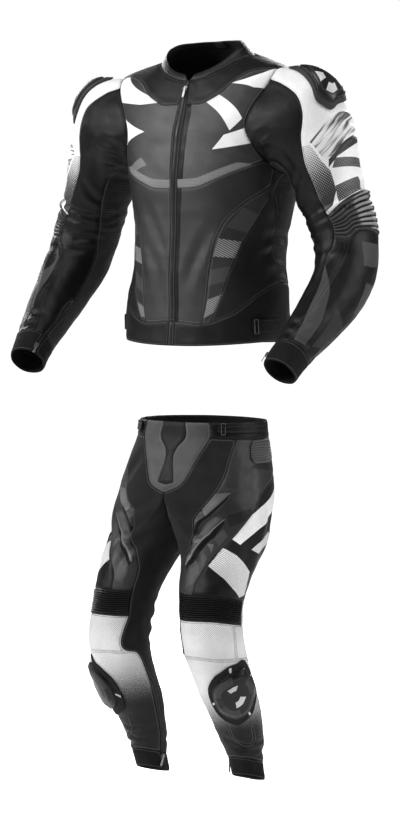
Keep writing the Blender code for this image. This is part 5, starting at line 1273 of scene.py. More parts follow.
# --- folds --------------------------------------------------------------------------------------
# Folds of each skin: (side, depth, width, corners), troughs pressed into the cloth; a negative
# depth is a ridge.
FOLDS = {
    "sleeve": (
        # armpits: creases run out of the armhole over the sleeve and over the chest
        ("both", 0.0050, 0.010, ((-150, 0.010), (-128, 0.055), (-104, 0.115))),
        ("both", 0.0042, 0.009, ((-134, 0.006), (-108, 0.045), (-84, 0.080))),
        ("left", 0.0034, 0.008, ((-168, 0.020), (-150, 0.080), (-132, 0.160))),
        ("right", 0.0038, 0.009, ((-172, 0.016), (-146, 0.090), (-122, 0.178))),
        ("both", 0.0036, 0.009, ((150, 0.012), (128, 0.060), (104, 0.110))),
        ("both", 0.0030, 0.008, ((168, 0.030), (150, 0.100), (138, 0.170))),
        ("left", 0.0028, 0.011, ((-100, 0.120), (-112, 0.190), (-104, 0.270))),
        ("right", 0.0032, 0.012, ((-92, 0.100), (-108, 0.180), (-118, 0.260))),
        ("both", -0.0026, 0.012, ((-122, 0.070), (-134, 0.150), (-126, 0.230))),
        # pleats that run forward and down from the back of the upper arm
        ("both", 0.0042, 0.0055, ((14, 0.168), (-18, 0.178), (-46, 0.190))),
        ("both", 0.0048, 0.0060, ((20, 0.188), (-18, 0.202), (-52, 0.222))),
        ("both", 0.0050, 0.0060, ((20, 0.212), (-20, 0.224), (-50, 0.248))),
        # inside of the elbow
        ("both", 0.0048, 0.008, ((-96, 0.296), (-124, 0.310), (-152, 0.316), (178, 0.312))),
        ("both", 0.0044, 0.007, ((-102, 0.338), (-130, 0.336), (-160, 0.338), (172, 0.346))),
        ("both", 0.0036, 0.007, ((-100, 0.376), (-132, 0.364), (-164, 0.366))),
        ("left", 0.0034, 0.008, ((-94, 0.246), (-118, 0.270), (-144, 0.282))),
        ("right", 0.0038, 0.008, ((-90, 0.252), (-112, 0.280), (-140, 0.296))),
        ("both", 0.0036, 0.008, ((-106, 0.420), (-134, 0.400), (-160, 0.396))),
        ("both", 0.0028, 0.008, ((-112, 0.462), (-138, 0.436), (-158, 0.428))),
        ("both", 0.0026, 0.009, ((84, 0.300), (116, 0.318), (150, 0.322))),
        ("both", 0.0026, 0.009, ((90, 0.388), (118, 0.374), (150, 0.366))),
        # forearm: long turns of the cloth
        ("left", 0.0030, 0.011, ((-84, 0.450), (-96, 0.520), (-88, 0.590))),
        ("right", 0.0032, 0.011, ((-66, 0.440), (-84, 0.510), (-96, 0.590))),
        ("both", -0.0022, 0.010, ((-60, 0.480), (-72, 0.560), (-64, 0.640))),
        ("both", 0.0024, 0.008, ((-40, 0.640), (-84, 0.668), (-128, 0.660))),
        ("both", 0.0022, 0.007, ((-10, 0.690), (-60, 0.700), (-110, 0.690))),
        ("both", 0.0022, 0.008, ((20, 0.660), (70, 0.690), (120, 0.676))),
    ),
    "body": (
        # body: soft diagonals over the belly, short ones at the waist and under the arms
        ("left", 0.0030, 0.013, ((8, 0.120), (17, 0.190), (31, 0.270))),
        ("right", 0.0042, 0.014, ((5, 0.090), (15, 0.170), (33, 0.262))),
        ("right", 0.0036, 0.012, ((6, 0.190), (14, 0.250), (26, 0.318))),
        ("right", -0.0034, 0.014, ((10, 0.110), (22, 0.200), (38, 0.290))),
        ("left", -0.0022, 0.013, ((14, 0.100), (23, 0.180), (34, 0.240))),
        ("both", 0.0032, 0.010, ((72, 0.180), (86, 0.196), (104, 0.184), (122, 0.196))),
        ("both", 0.0034, 0.010, ((78, 0.222), (92, 0.232), (106, 0.226), (128, 0.240))),
        ("both", 0.0026, 0.009, ((82, 0.150), (96, 0.158), (114, 0.150))),
        ("both", 0.0028, 0.010, ((70, 0.350), (84, 0.300), (90, 0.262))),
        ("both", 0.0026, 0.011, ((62, 0.392), (50, 0.386), (36, 0.398))),
        ("both", 0.0028, 0.012, ((120, 0.380), (134, 0.350), (150, 0.336))),
        ("both", 0.0030, 0.014, ((140, 0.200), (160, 0.214), (180, 0.210))),
        ("both", 0.0026, 0.013, ((132, 0.262), (152, 0.254), (172, 0.262))),
        ("both", 0.0022, 0.012, ((150, 0.440), (164, 0.400), (170, 0.350))),
    ),
    "leg": (
        # crotch and thighs
        ("both", 0.0040, 0.010, ((-88, -0.915), (-70, -0.934), (-50, -0.944))),
        ("both", 0.0038, 0.010, ((-96, -0.952), (-78, -0.978), (-60, -0.990))),
        ("left", 0.0034, 0.011, ((-104, -0.986), (-92, -1.030), (-84, -1.070))),
        ("right", 0.0036, 0.011, ((-108, -0.990), (-96, -1.024), (-90, -1.074))),
        ("both", 0.0030, 0.012, ((-66, -0.816), (-54, -0.850), (-44, -0.894))),
        ("both", 0.0026, 0.014, ((-20, -0.830), (-16, -0.880), (-24, -0.930))),
        ("both", 0.0034, 0.010, ((150, -1.000), (120, -1.006), (90, -0.996), (70, -0.990))),
        ("both", 0.0034, 0.011, ((156, -1.030), (126, -1.040), (96, -1.034))),
        ("both", 0.0028, 0.012, ((-140, -1.020), (-150, -1.080), (-146, -1.130))),
        ("both", 0.0024, 0.012, ((10, -0.910), (16, -0.970), (8, -1.030))),
        # behind the knee
        ("both", 0.0046, 0.008, ((64, -1.150), (96, -1.158), (130, -1.152), (160, -1.148))),
        ("both", 0.0044, 0.008, ((66, -1.180), (98, -1.184), (132, -1.186), (162, -1.180))),
        ("both", 0.0036, 0.008, ((70, -1.116), (100, -1.122), (134, -1.112))),
        ("both", 0.0034, 0.009, ((68, -1.216), (100, -1.224), (134, -1.216), (166, -1.222))),
        ("both", 0.0026, 0.009, ((-150, -1.150), (-160, -1.190), (-172, -1.230))),
        # calf and ankle
        ("both", 0.0026, 0.011, ((-30, -1.330), (-18, -1.380), (-24, -1.430))),
        ("both", 0.0030, 0.007, ((-110, -1.436), (-70, -1.448), (-30, -1.440))),
        ("both", 0.0030, 0.006, ((-90, -1.460), (-50, -1.466), (-4, -1.456))),
        ("right", 0.0036, 0.0045, ((-140, -1.446), (-104, -1.456), (-62, -1.452))),
        ("right", 0.0034, 0.0042, ((-120, -1.424), (-84, -1.432), (-52, -1.424))),
        ("left", 0.0036, 0.0045, ((-104, -1.452), (-60, -1.462), (-18, -1.454))),
        ("left", 0.0034, 0.0042, ((-70, -1.470), (-30, -1.474), (10, -1.464))),
        ("left", 0.0032, 0.0045, ((-46, -1.428), (-10, -1.436), (26, -1.426))),
        ("both", 0.0026, 0.007, ((0, -1.440), (40, -1.452), (90, -1.440))),
        ("left", 0.0026, 0.008, ((-130, -1.390), (-112, -1.410), (-84, -1.404))),
        ("both", 0.0028, 0.007, ((110, -1.430), (140, -1.444), (168, -1.436))),
    ),
}
SHOULDER_OF_FOLD = 0.38    # beside a trough the cloth rises by this share of its depth
FOLD_SAMPLES = 70          # points along a fold
FOLD_REACH = 3.5           # a fold moves no point farther away than this, in widths
SOFTNESS = ((0.110, 0.0013), (0.042, 0.00055))    # (wavelength, height) of the cloth's slow waves
FLIPS = {"left": (1,), "right": (-1,), "both": (1, -1)}


def waves(points, wavelength, seed):
    """Slow uneven waves between about -1 and 1."""
    random = np.random.default_rng(seed)
    total = np.zeros(len(points))
    for _ in range(7):
        way = random.normal(size=3)
        way *= 2 * math.pi / wavelength / np.linalg.norm(way) * random.uniform(0.7, 1.4)
        total += np.sin(points @ way + random.uniform(0, 6.28))
    return total / 3.5


def fold_height(skin):
    """How far the folds and waves move each point of the skin outward."""
    height = np.zeros(len(skin.points))
    for seed, (wavelength, size) in enumerate(SOFTNESS):
        height += size * waves(skin.points, wavelength, seed)
    for region, rows in FOLDS.items():
        for side, depth, width, corners in rows:
            line = curve(corners, SCALES[region], FOLD_SAMPLES)
            for flip in FLIPS[side]:
                place, out = on_skin(region, line[:, 0], line[:, 1], flip)
                add_fold(skin, height, region, place, out, depth, width)
    return height


def add_fold(skin, height, region, line, facing, depth, width):
    """Add one fold to the heights of the points near its line that face the same way."""
    low, high = line.min(0) - FOLD_REACH * width, line.max(0) + FOLD_REACH * width
    near = np.all((skin.points > low) & (skin.points < high), axis=1)
    near &= (skin.region == region) | (skin.region == "seam")
    near = np.flatnonzero(near)
    away = np.linalg.norm(skin.points[near][:, None] - line[None], axis=2)
    nearest = away.argmin(1)
    away = away.min(1) / width
    taper = np.sin(math.pi * nearest / (len(line) - 1)) ** 0.7
    seen = ease(((skin.normals[near] * facing[nearest]).sum(1) - 0.1) / 0.5)
    trough = -np.exp(-away ** 2) + SHOULDER_OF_FOLD * np.exp(-((away - 1.8) / 0.8) ** 2)
    height[near] += depth * taper * seen * trough


# Where hard pieces lie, the cloth stays plain: (skin, middle, reach).
CALM = (
    ("sleeve", (2, 0.060), 0.062), ("sleeve", (4, 0.110), 0.066),
    ("leg", (-40, -1.312), 0.060), ("leg", (-52, -1.350), 0.058),
    ("sleeve", WRIST_HINGE, 0.020), ("leg", CALF_HINGE, 0.022), ("body", (0, 0.540), 0.022),
)
CALM_EDGE = 0.014          # over this distance the folds come back


def calm(skin):
    """1 on free cloth, falling to 0 under hard pieces."""
    free = np.ones(len(skin.points))
    for region, spot, reach in CALM:
        middle = SURFACES[region](*spot)
        for flip in (1, -1):
            away = np.linalg.norm(skin.points - middle * [flip, 1, 1], axis=1)
            free = np.minimum(free, ease((away - reach) / CALM_EDGE))
    return free


WRAPPED = {"sleeve_under": "sleeve", "inner_leg": "leg"}    # panels across the ends of the angles
LEAST_SHARE, MOST_SHARE = 0.32, 0.98    # of its flat rectangle, that a piece fills
LEAST_WIDTH = 0.0102       # a narrower piece's flat rectangle is given this width


def plain_name(label):
    """The panel's name without its side."""
    return label.removesuffix("_left").removesuffix("_right")


def smallest_rectangle(spots):
    """The sides of the smallest rectangle round the spots, the short one first."""
    best = None
    for turn in np.radians(np.arange(0, 90, 3)):
        way = np.array([math.cos(turn), math.sin(turn)])
        size = np.ptp(spots @ way), np.ptp(spots @ np.array([-way[1], way[0]]))
        if best is None or size[0] * size[1] < best[0] * best[1]:
            best = size
    return min(best), max(best)


def cut(skin, label):
    """The flat piece that a panel is cut from: (width, length) and area, in metres."""
    faces, corner, _ = skin.faces[label]
    a, b, c = (skin.points[faces[:, k]] for k in range(3))
    area = np.linalg.norm(np.cross(b - a, c - a), axis=1).sum() / 2
    flat = corner[:, :, :2].copy()
    name = plain_name(label)
    if name in WRAPPED:
        way = -1 if label.endswith("_right") else 1
        whole = np.interp(flat[:, :, 1], *skin.rounds[WRAPPED[name]])
        flat[:, :, 0] = np.where(flat[:, :, 0] * way < 0, flat[:, :, 0] * way + whole, flat[:, :, 0] * way)
    flat_area = np.abs(np.cross(flat[:, 1] - flat[:, 0], flat[:, 2] - flat[:, 0])).sum() / 2
    flat[:, :, 1] *= area / flat_area
    spots = flat.reshape(-1, 2)
    if label in SINGLE:
        half = spots[spots[:, 0] > 0] if label != "front_zip" else np.abs(spots)
        across, down = 2 * np.ptp(half[:, 0]), np.ptp(spots[:, 1])
    else:
        across, down = smallest_rectangle(spots)
    if not LEAST_SHARE * across * down < area < MOST_SHARE * across * down:
        across = area / (0.95 * down)
    across, down = max(float(across), LEAST_WIDTH), float(down)
    return (across, down), float(min(area, 0.999 * across * down))


# --- materials ----------------------------------------------------------------------------------
class Graph:
    """A shader graph; every input may be a number or another node's output."""

    def __init__(self, name):
        self.material = bpy.data.materials.new(name)
        self.material.use_nodes = True
        self.tree = self.material.node_tree
        self.tree.nodes.clear()

    def node(self, kind, inputs, **settings):
        made = self.tree.nodes.new("ShaderNode" + kind)
        for key, value in settings.items():
            setattr(made, key, value)
        for key, value in inputs.items():
            if isinstance(value, bpy.types.NodeSocket):
                self.tree.links.new(value, made.inputs[key])
            else:
                made.inputs[key].default_value = value
        return made

    def math(self, operation, a, b=0.0, c=0.0):
        return self.node("Math", {0: a, 1: b, 2: c}, operation=operation).outputs[0]

    def times(self, a, b):
        return self.math("MULTIPLY", a, b)

    def times_plus(self, a, b, c):
        return self.math("MULTIPLY_ADD", a, b, c)

    def away(self, value, middle):
        """How far a value is from the middle, as a number above 0."""
        return self.math("ABSOLUTE", self.math("SUBTRACT", value, middle))

    def sawtooth(self, value, pitch):
        """0 to 1 again and again, once for each pitch."""
        return self.math("FRACT", self.math("DIVIDE", value, pitch))

    def band(self, value, low, high, to_low=0.0, to_high=1.0):
        """A smooth change from one value to another between `low` and `high`."""
        inputs = {"Value": value, "From Min": low, "From Max": high, "To Min": to_low, "To Max": to_high}
        return self.node("MapRange", inputs, interpolation_type="SMOOTHSTEP").outputs[0]

    def blend(self, share, a, b):
        return self.node("Mix", {0: share, 2: a, 3: b}, data_type="FLOAT").outputs[0]

    def grey(self, value):
        return self.node("CombineColor", {"Red": value, "Green": value, "Blue": value}).outputs[0]

    def place(self):
        return self.node("TexCoord", {}).outputs["Object"]

    def noise(self, scale, detail=3.0, rough=0.5):
        inputs = {"Vector": self.place(), "Scale": scale, "Detail": detail, "Roughness": rough}
        return self.node("TexNoise", inputs).outputs[0]

    def streaks(self, slope, across, along):
        """Noise drawn out into brush strokes over the skin."""
        x, v = self.layer("skin")
        over = self.times(self.times_plus(x, slope, v), across)
        far = self.times(self.times_plus(v, -slope, x), along)
        place = self.node("CombineXYZ", {0: over, 1: far}).outputs[0]
        return self.node("TexNoise", {"Vector": place, "Scale": 1.0, "Detail": 3.0}).outputs[0]

    def cells(self, scale):
        inputs = {"Vector": self.place(), "Scale": scale, "Randomness": 1.0}
        return self.node("TexVoronoi", inputs, feature="DISTANCE_TO_EDGE").outputs["Distance"]

    def layer(self, name):
        """The two values kept at the corners in one layer."""
        uv = self.node("UVMap", {}, uv_map=name).outputs[0]
        apart = self.node("SeparateXYZ", {0: uv})
        return apart.outputs[0], apart.outputs[1]

    def dots(self, pitch, radius):
        """Above 0 inside round dots on a slanted grid over the skin, below 0 between them."""
        x, v = self.layer("skin")
        x, v = self.math("ADD", x, v), self.math("SUBTRACT", x, v)
        pitch = pitch * math.sqrt(2)
        a = self.math("SUBTRACT", self.sawtooth(x, pitch), 0.5)
        b = self.math("SUBTRACT", self.sawtooth(v, pitch), 0.5)
        away = self.math("SQRT", self.math("ADD", self.times(a, a), self.times(b, b)))
        away = self.times(away, pitch * (1 / math.sqrt(2)))
        return self.times(self.math("SUBTRACT", radius, away), DOT_SHARPNESS)

    def stripes(self, pitch, slope, share=0.5):
        """1 in stripes over the skin; slope 0 runs them level."""
        x, v = self.layer("skin")
        at = self.math("ADD", self.times(x, slope), v)
        tooth = self.away(self.sawtooth(at, pitch), 0.5)
        return self.band(tooth, share / 2 + 0.06, share / 2 - 0.06)

    def clamp(self, value):
        return self.node("Clamp", {0: value}).outputs[0]

    def surface(self, colour, roughness, height=None, metallic=0.0, specular=0.5, sheen=0.0, glow=0.0):
        inputs = {"Base Color": colour, "Roughness": roughness, "Metallic": metallic,
                  "Specular IOR Level": specular, "Sheen Weight": sheen,
                  "Emission Strength": glow, "Emission Color": (1, 1, 1, 1)}
        if height is not None:
            inputs["Normal"] = self.node("Bump", {"Height": height, "Distance": 1.0}).outputs[0]
        shader = self.node("BsdfPrincipled", inputs)
        self.tree.links.new(shader.outputs[0], self.node("OutputMaterial", {}).inputs[0])
        return self.material


GRAIN = 0.00010            # height of the grain of leather
DOT_SHARPNESS = 4000.0     # a dot's edge is 1 / 4000 m wide
STITCH_ROW = 0.0032        # a row of stitches lies this far beside its seam
STITCH_PITCH = 0.0036      # from stitch to stitch
STITCH_RELIEF = 0.00030    # a stitch stands this high


def cloth(name, tone, rough, thread=0.10, specular=0.5, sheen=0.0, seam_shade=0.55, shading=None,
          pattern=None, second=None, relief=0.0):
    """Leather or textile: grain, soft changes of tone, a pattern, stitching beside each seam, and painted
    shade along each seam's groove.
    """
    graph = Graph(name)
    soft, fine = graph.noise(9.0), graph.noise(420.0, 2.0)
    value = graph.times(tone, graph.band(soft, 0.25, 0.75, 0.86, 1.14))
    value = graph.times(value, graph.band(fine, 0.3, 0.7, 0.94, 1.06))
    if shading is not None:
        value = graph.times(value, shading(graph))
    height = graph.times(graph.clamp(graph.times(graph.cells(900.0), 3.0)), GRAIN)
    height = graph.times_plus(graph.noise(62.0, 4.0, 0.6), GRAIN * 4, height)
    if pattern is not None:
        mask = graph.clamp(pattern(graph))
        other = graph.times(second, graph.band(soft, 0.25, 0.75, 0.90, 1.10))
        value = graph.blend(mask, value, other)
        height = graph.times_plus(mask, relief, height)
    away, along = graph.layer("seam")
    row = graph.band(graph.away(away, STITCH_ROW), 0.00075, 0.00045)
    dash = graph.band(graph.away(graph.sawtooth(along, STITCH_PITCH), 0.5), 0.40, 0.32)
    stitch = graph.times(row, dash)
    value = graph.blend(stitch, value, thread)
    height = graph.times_plus(stitch, STITCH_RELIEF, height)
    # painted shade: the colour darkens toward each seam line, as a shadow in its groove
    value = graph.times(value, graph.band(away, 0.0002, 0.0016, seam_shade, 1.0))
    roughness = graph.band(graph.noise(26.0, 4.0), 0.3, 0.7, rough - 0.06, rough + 0.08)
    return graph.surface(graph.grey(value), roughness, height, sheen=sheen, specular=specular)


def dotted(pitch, radius):
    return lambda graph: graph.dots(pitch, radius)


def striped(pitch, slope, share=0.5):
    return lambda graph: graph.stripes(pitch, slope, share)


def brushed(graph):
    """Dark brush strokes that run down the sleeve."""
    return graph.band(graph.streaks(0.42, 120.0, 9.0), 0.44, 0.60)


def growing_dots(graph):
    """Dots that grow from nothing at the top of the print until they meet near the elbow."""
    _, v = graph.layer("skin")
    share = graph.band(v, 0.170, 0.360)
    return graph.dots(0.0040, graph.times(graph.math("SQRT", share), 0.0040 * 0.74))


def knee_fade(graph):
    """White at the knee, then fine slanted lines that widen into dark grey down the shin."""
    x, v = graph.layer("skin")
    place = graph.times_plus(x, -0.25, v)
    share = graph.node("MapRange", {"Value": place, "From Min": -1.285, "From Max": -1.425}).outputs[0]
    tooth = graph.away(graph.sawtooth(graph.times_plus(x, 0.75, v), 0.0030), 0.5)
    lines = graph.times_plus(graph.math("SUBTRACT", graph.times(share, 0.80), tooth), 4.0, 0.15)
    low = graph.band(v, -1.250, -1.210)
    top = graph.times(low, graph.band(v, -1.235, -1.165, 0.10, 0.55))
    faint = graph.times(graph.clamp(graph.dots(0.0036, 0.0014)), top)
    return graph.math("MAXIMUM", graph.clamp(lines), faint)


def centre_light(graph):
    """The print is lighter beside the zip and darker toward the sides."""
    x, _ = graph.layer("skin")
    broad = graph.band(graph.math("ABSOLUTE", x), 0.02, 0.17, 1.35, 0.50)
    return graph.times(broad, graph.band(graph.streaks(0.35, 26.0, 7.0), 0.3, 0.7, 0.86, 1.14))


def facet_light(graph):
    """Each facet of the thigh print fades a little from one side to the other."""
    return graph.band(graph.streaks(-0.8, 14.0, 9.0), 0.3, 0.7, 0.78, 1.22)


def highlight_at_elbow_point(graph):
    """Painted highlight: the ribs' crests are painted light only over the point of the elbow."""
    x, _ = graph.layer("skin")
    return graph.band(graph.math("ABSOLUTE", x), 0.036, 0.024)


# Style: (tone, roughness, other settings); `second` is the tone where the pattern is 1.
CLOTHS = {
    "black_leather": (0.0055, 0.38, dict(thread=0.024, specular=0.17)),
    "soft_black": (0.0070, 0.42, dict(thread=0.070, specular=0.20)),
    "grey_leather": (0.062, 0.50, dict(thread=0.180, specular=0.25, shading=centre_light)),
    "grey_block": (0.050, 0.52, dict(specular=0.25)),
    "fly_leather": (0.056, 0.46, dict(thread=0.12, specular=0.3, shading=facet_light)),
    "thigh_leather": (0.020, 0.42, dict(thread=0.05, specular=0.32, shading=facet_light)),
    "thigh_mid": (0.043, 0.44, dict(thread=0.06, specular=0.32, shading=facet_light)),
    "thigh_light": (0.088, 0.44, dict(thread=0.08, specular=0.32, shading=facet_light)),
    # painted highlight on the thigh ridges' crests and painted shadow in their grooves
    "fin_light": (0.135, 0.42, dict(specular=0.4)),
    "fin_dark": (0.003, 0.5, dict(thread=0.02, specular=0.15)),
    "thigh_dark": (0.010, 0.46, dict(thread=0.04, specular=0.25)),
    "white_leather": (0.86, 0.46, dict(thread=0.66, seam_shade=0.30)),
    "grey_holes": (0.027, 0.46, dict(second=0.004, relief=-0.0004, thread=0.110, specular=0.32,
                                     shading=centre_light, pattern=dotted(0.0042, 0.0007))),
    "chest_holes": (0.062, 0.50, dict(second=0.004, relief=-0.0004, specular=0.25,
                                      shading=centre_light, pattern=dotted(0.0050, 0.0009))),
    "black_holes": (0.010, 0.42, dict(second=0.002, relief=-0.0004, thread=0.035, specular=0.25,
                                      pattern=dotted(0.0042, 0.0007))),
    "light_hatch": (0.030, 0.55, dict(second=0.30, relief=0.0003, pattern=striped(0.0046, 0.55))),
    "dark_hatch": (0.009, 0.55, dict(second=0.034, relief=0.0004, specular=0.3,
                                     pattern=striped(0.0040, -0.9))),
    "chest_mesh": (0.050, 0.55, dict(second=0.62, relief=0.0002, pattern=dotted(0.0042, 0.0013))),
    "brushed": (0.80, 0.46, dict(second=0.075, pattern=brushed)),
    "mesh_print": (0.66, 0.48, dict(second=0.014, pattern=growing_dots)),
    "wedge_print": (0.032, 0.44, dict(specular=0.35)),
    "dark_dots": (0.014, 0.48, dict(second=0.42, pattern=dotted(0.0038, 0.0010))),
    "white_lines": (0.84, 0.48, dict(second=0.22, pattern=striped(0.0038, -0.5, 0.36))),
    "rib_valley": (0.012, 0.48, dict(thread=0.03, specular=0.4)),
    "hip_ribs": (0.060, 0.50, dict(thread=0.05, specular=0.4)),
    # painted highlight on the elbow ribs' crests, lighter still over the elbow point
    "rib_crest": (0.022, 0.46, dict(second=0.24, thread=0.3, pattern=highlight_at_elbow_point)),
    "stretch_ribs": (0.006, 0.75, dict(second=0.020, relief=0.0007, sheen=0.03, specular=0.25,
                                       pattern=striped(0.0042, 0.0, 0.6))),
    "stretch": (0.0080, 0.85, dict(second=0.013, relief=0.0001, sheen=0.04, specular=0.20,
                                   pattern=striped(0.0011, 0.6))),
    "shin_fade": (0.78, 0.42, dict(second=0.008, seam_shade=0.45, specular=0.20, pattern=knee_fade)),
    "neoprene": (0.0055, 0.80, dict(second=0.010, relief=0.0002, sheen=0.02, specular=0.15,
                                    pattern=striped(0.0014, 8.0))),
    "tape": (0.008, 0.75, dict(second=0.015, relief=0.0001, sheen=0.05, specular=0.25,
                               pattern=striped(0.0012, 0.0))),
    "dark_mesh": (0.010, 0.85, dict(second=0.003, relief=-0.0003, sheen=0.05, specular=0.25,
                                    pattern=dotted(0.0026, 0.0008))),
}
STYLES = {name: cloth(name, tone, rough, **others) for name, (tone, rough, others) in CLOTHS.items()}


def hard(name, tone, rough, metallic):
    """Moulded plastic or cast metal: faint moulding grain, uneven gloss and light scuffs."""
    graph = Graph(name + "_look")
    soft = graph.noise(30.0)
    scuff = graph.band(graph.noise(160.0, 6.0, 0.7), 0.60, 0.68)
    value = graph.times(tone, graph.band(soft, 0.3, 0.7, 0.90, 1.10))
    value = graph.times_plus(scuff, tone * 0.25 + 0.004, value)
    height = graph.times(graph.noise(700.0, 2.0), 0.00006)
    roughness = graph.band(soft, 0.3, 0.7, rough - 0.05, rough + 0.07)
    return graph.surface(graph.grey(value), roughness, height, metallic, specular=0.3)


# Hard look: (tone, roughness, metallic).
HARD_TABLE = {
    "zip_metal": (0.30, 0.34, 0.9),
    "zip_teeth": (0.035, 0.38, 0.3),
    "cup_plastic": (0.012, 0.32, 0.0),
    "slider_plastic": (0.007, 0.30, 0.0),
    # painted highlight: the lighter plastic of the knee slider's bevel facets
    "slider_bevel_highlight": (0.034, 0.36, 0.0),
    "white_plastic": (0.62, 0.42, 0.0),
    "cup_base": (0.030, 0.62, 0.0),
    "hook_base": (0.008, 0.85, 0.0),
}
HARD = {name: hard(name, *values) for name, values in HARD_TABLE.items()}


# --- hard pieces, zips and straps ----------------------------------------------------------------
CAP_TURNS = 96             # points round a cap
CAP_RINGS = ((0.995, 0.70, 26), (0.68, 0.04, 24))    # from share to share of the way out, this many
HARD_GAP = 0.0016          # a cap's rim stands this far off the skin
CAP_HOLLOW = 0.0040        # its underside is this much higher in the middle
UNDERSIDE = ((0.35, CAP_HOLLOW), (0.70, 0.0030), (1.00, 0.0))
CHAIN_RISE = 0.0004        # a zip's line of teeth lies this far above its tape
TOOTH_PITCH = 0.0036       # from tooth to tooth on one side of a zip
TOOTH_SIDE = 0.0010        # a tooth's middle lies this far beside the line
TOOTH = (0.0030, TOOTH_PITCH * 0.36, 0.0013)
WHOLE = 9                  # a span wide enough to go all round a cap

# Profiles of caps are (share of the way out, height).  Their details are (share, turn, share width,
# turn width, height).
CUP_OUTLINE = ((0, 0.015), (-10, 0.042), (-20, 0.084), (-28, 0.123), (-18, 0.159), (-4, 0.157),
               (14, 0.150), (28, 0.132), (34, 0.096), (26, 0.056), (12, 0.026))
CUP_CENTRE = (2, 0.095)
CUP_PROFILE = ((0.04, 0.0135), (0.30, 0.0130), (0.62, 0.0106), (0.76, 0.0088), (0.80, 0.0060),
               (0.86, 0.0054), (0.99, 0.0030))
CUP_DETAIL = (
    (0.80, 0.50, 0.018, WHOLE, -0.0010),
    (0.56, 0.50, 0.020, WHOLE, -0.0009),
    (0.66, 0.27, 0.060, 0.06, 0.0008),
    (0.40, 0.36, 0.100, 0.05, 0.0010),
    (0.40, 0.18, 0.100, 0.04, 0.0010),
    (0.93, 0.50, 0.010, WHOLE, -0.0005),
)
SLIDER_OUTLINE = ((4, -1.2476), (-16, -1.2580), (-36, -1.2686), (-55, -1.2850), (-72, -1.2986),
                  (-92, -1.3256), (-98, -1.3616), (-90, -1.3886), (-70, -1.4006), (-50, -1.4006),
                  (-16, -1.3736), (4, -1.3376), (18, -1.3130), (20, -1.2896), (14, -1.2650))
SLIDER_CENTRE = (-44, -1.330)
SLIDER_PROFILE = ((0.04, 0.0150), (0.36, 0.0168), (0.42, 0.0166), (0.56, 0.0150), (0.68, 0.0120),
                  (0.76, 0.0100), (0.785, 0.0044), (0.82, 0.0037), (0.99, 0.0030))
SLIDER_DETAIL = (
    (0.47, 0.50, 0.010, WHOLE, -0.0012),
    (0.735, 0.50, 0.010, WHOLE, -0.0009),
    (0.60, 0.42, 0.070, 0.07, 0.0016),
    (0.60, 0.62, 0.070, 0.06, 0.0014),
    (0.60, 0.12, 0.060, 0.07, 0.0014),
    (0.60, 0.86, 0.060, 0.05, 0.0012),
    (0.90, 0.50, 0.008, WHOLE, -0.0004),
)
BASE_TICKS = (0.12, 0.40, 0.66, 0.90)   # light marks on the slider's base, as turns
# The boxes of a zip's slider body: middle and size, each as (down the zip, across, outward).
SLIDER_BODY = (
    ((0.0010, 0.0, 0.0007), (0.0100, 0.0078, 0.0028)),
    ((0.0010, 0.0040, 0.0030), (0.0050, 0.0008, 0.0030)),
    ((0.0010, -0.0040, 0.0030), (0.0050, 0.0008, 0.0030)),
    ((-0.0040, 0.0, 0.0030), (0.0012, 0.0060, 0.0024)),
)
# Wire buckles: (name, skin, angle, height, length), two long and two short wires each.
BUCKLES = (("hem_bar_", "body", 64, 0.038, 0.030), ("waist_bar_", "leg", -44, -0.7645, 0.024))
WIRE = 0.0014              # thickness of their wire
WIRE_SIDE = 0.0042         # the long wires lie this far beside the buckle's middle
BUCKLE_RISE = 0.0030       # and the middle this far above the cloth


def make_piece(name, points, faces, looks, slot, index=None, data=None, sharp=SHARP_BLOCK):
    """An object from points and faces of three or four corners."""
    mesh = bpy.data.meshes.new(name)
    mesh.from_pydata([tuple(point) for point in lifted(points)], [], [tuple(map(int, f)) for f in faces])
    for look in looks:
        mesh.materials.append(look)
    if index is not None:
        mesh.polygons.foreach_set("material_index", np.asarray(index, np.int32))
    if data is not None:
        for layer, pair in (("skin", (0, 1)), ("seam", (2, 3))):
            uv = mesh.uv_layers.new(name=layer)
            corners = np.array([data[i] for face in faces for i in face])[:, pair]
            uv.data.foreach_set("uv", corners.astype(np.float32).ravel())
    mesh.validate()
    mesh.shade_smooth()
    mesh.set_sharp_from_angle(angle=math.radians(sharp))
    made = bpy.data.objects.new(name, mesh)
    bpy.context.scene.collection.objects.link(made)
    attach(made, SUIT)
    return made


def rounded(outline, count):
    """A closed smooth curve through the outline's points."""
    outline = np.array(outline, float)
    at = np.linspace(0, len(outline), count, endpoint=False)
    knots = np.arange(len(outline))
    return np.stack([periodic(knots, outline[:, k], at, len(outline)) for k in (0, 1)], -1)


def bumps(places, share, turn):
    """Height that a cap's details add on one of its rings."""
    total = np.zeros(len(turn))
    for at, where, wide, span, height in places:
        round_way = np.abs((turn - where + 0.5) % 1 - 0.5)
        total += height * math.exp(-((share - at) / wide) ** 2) * ease(1.6 - round_way / span)
    return total


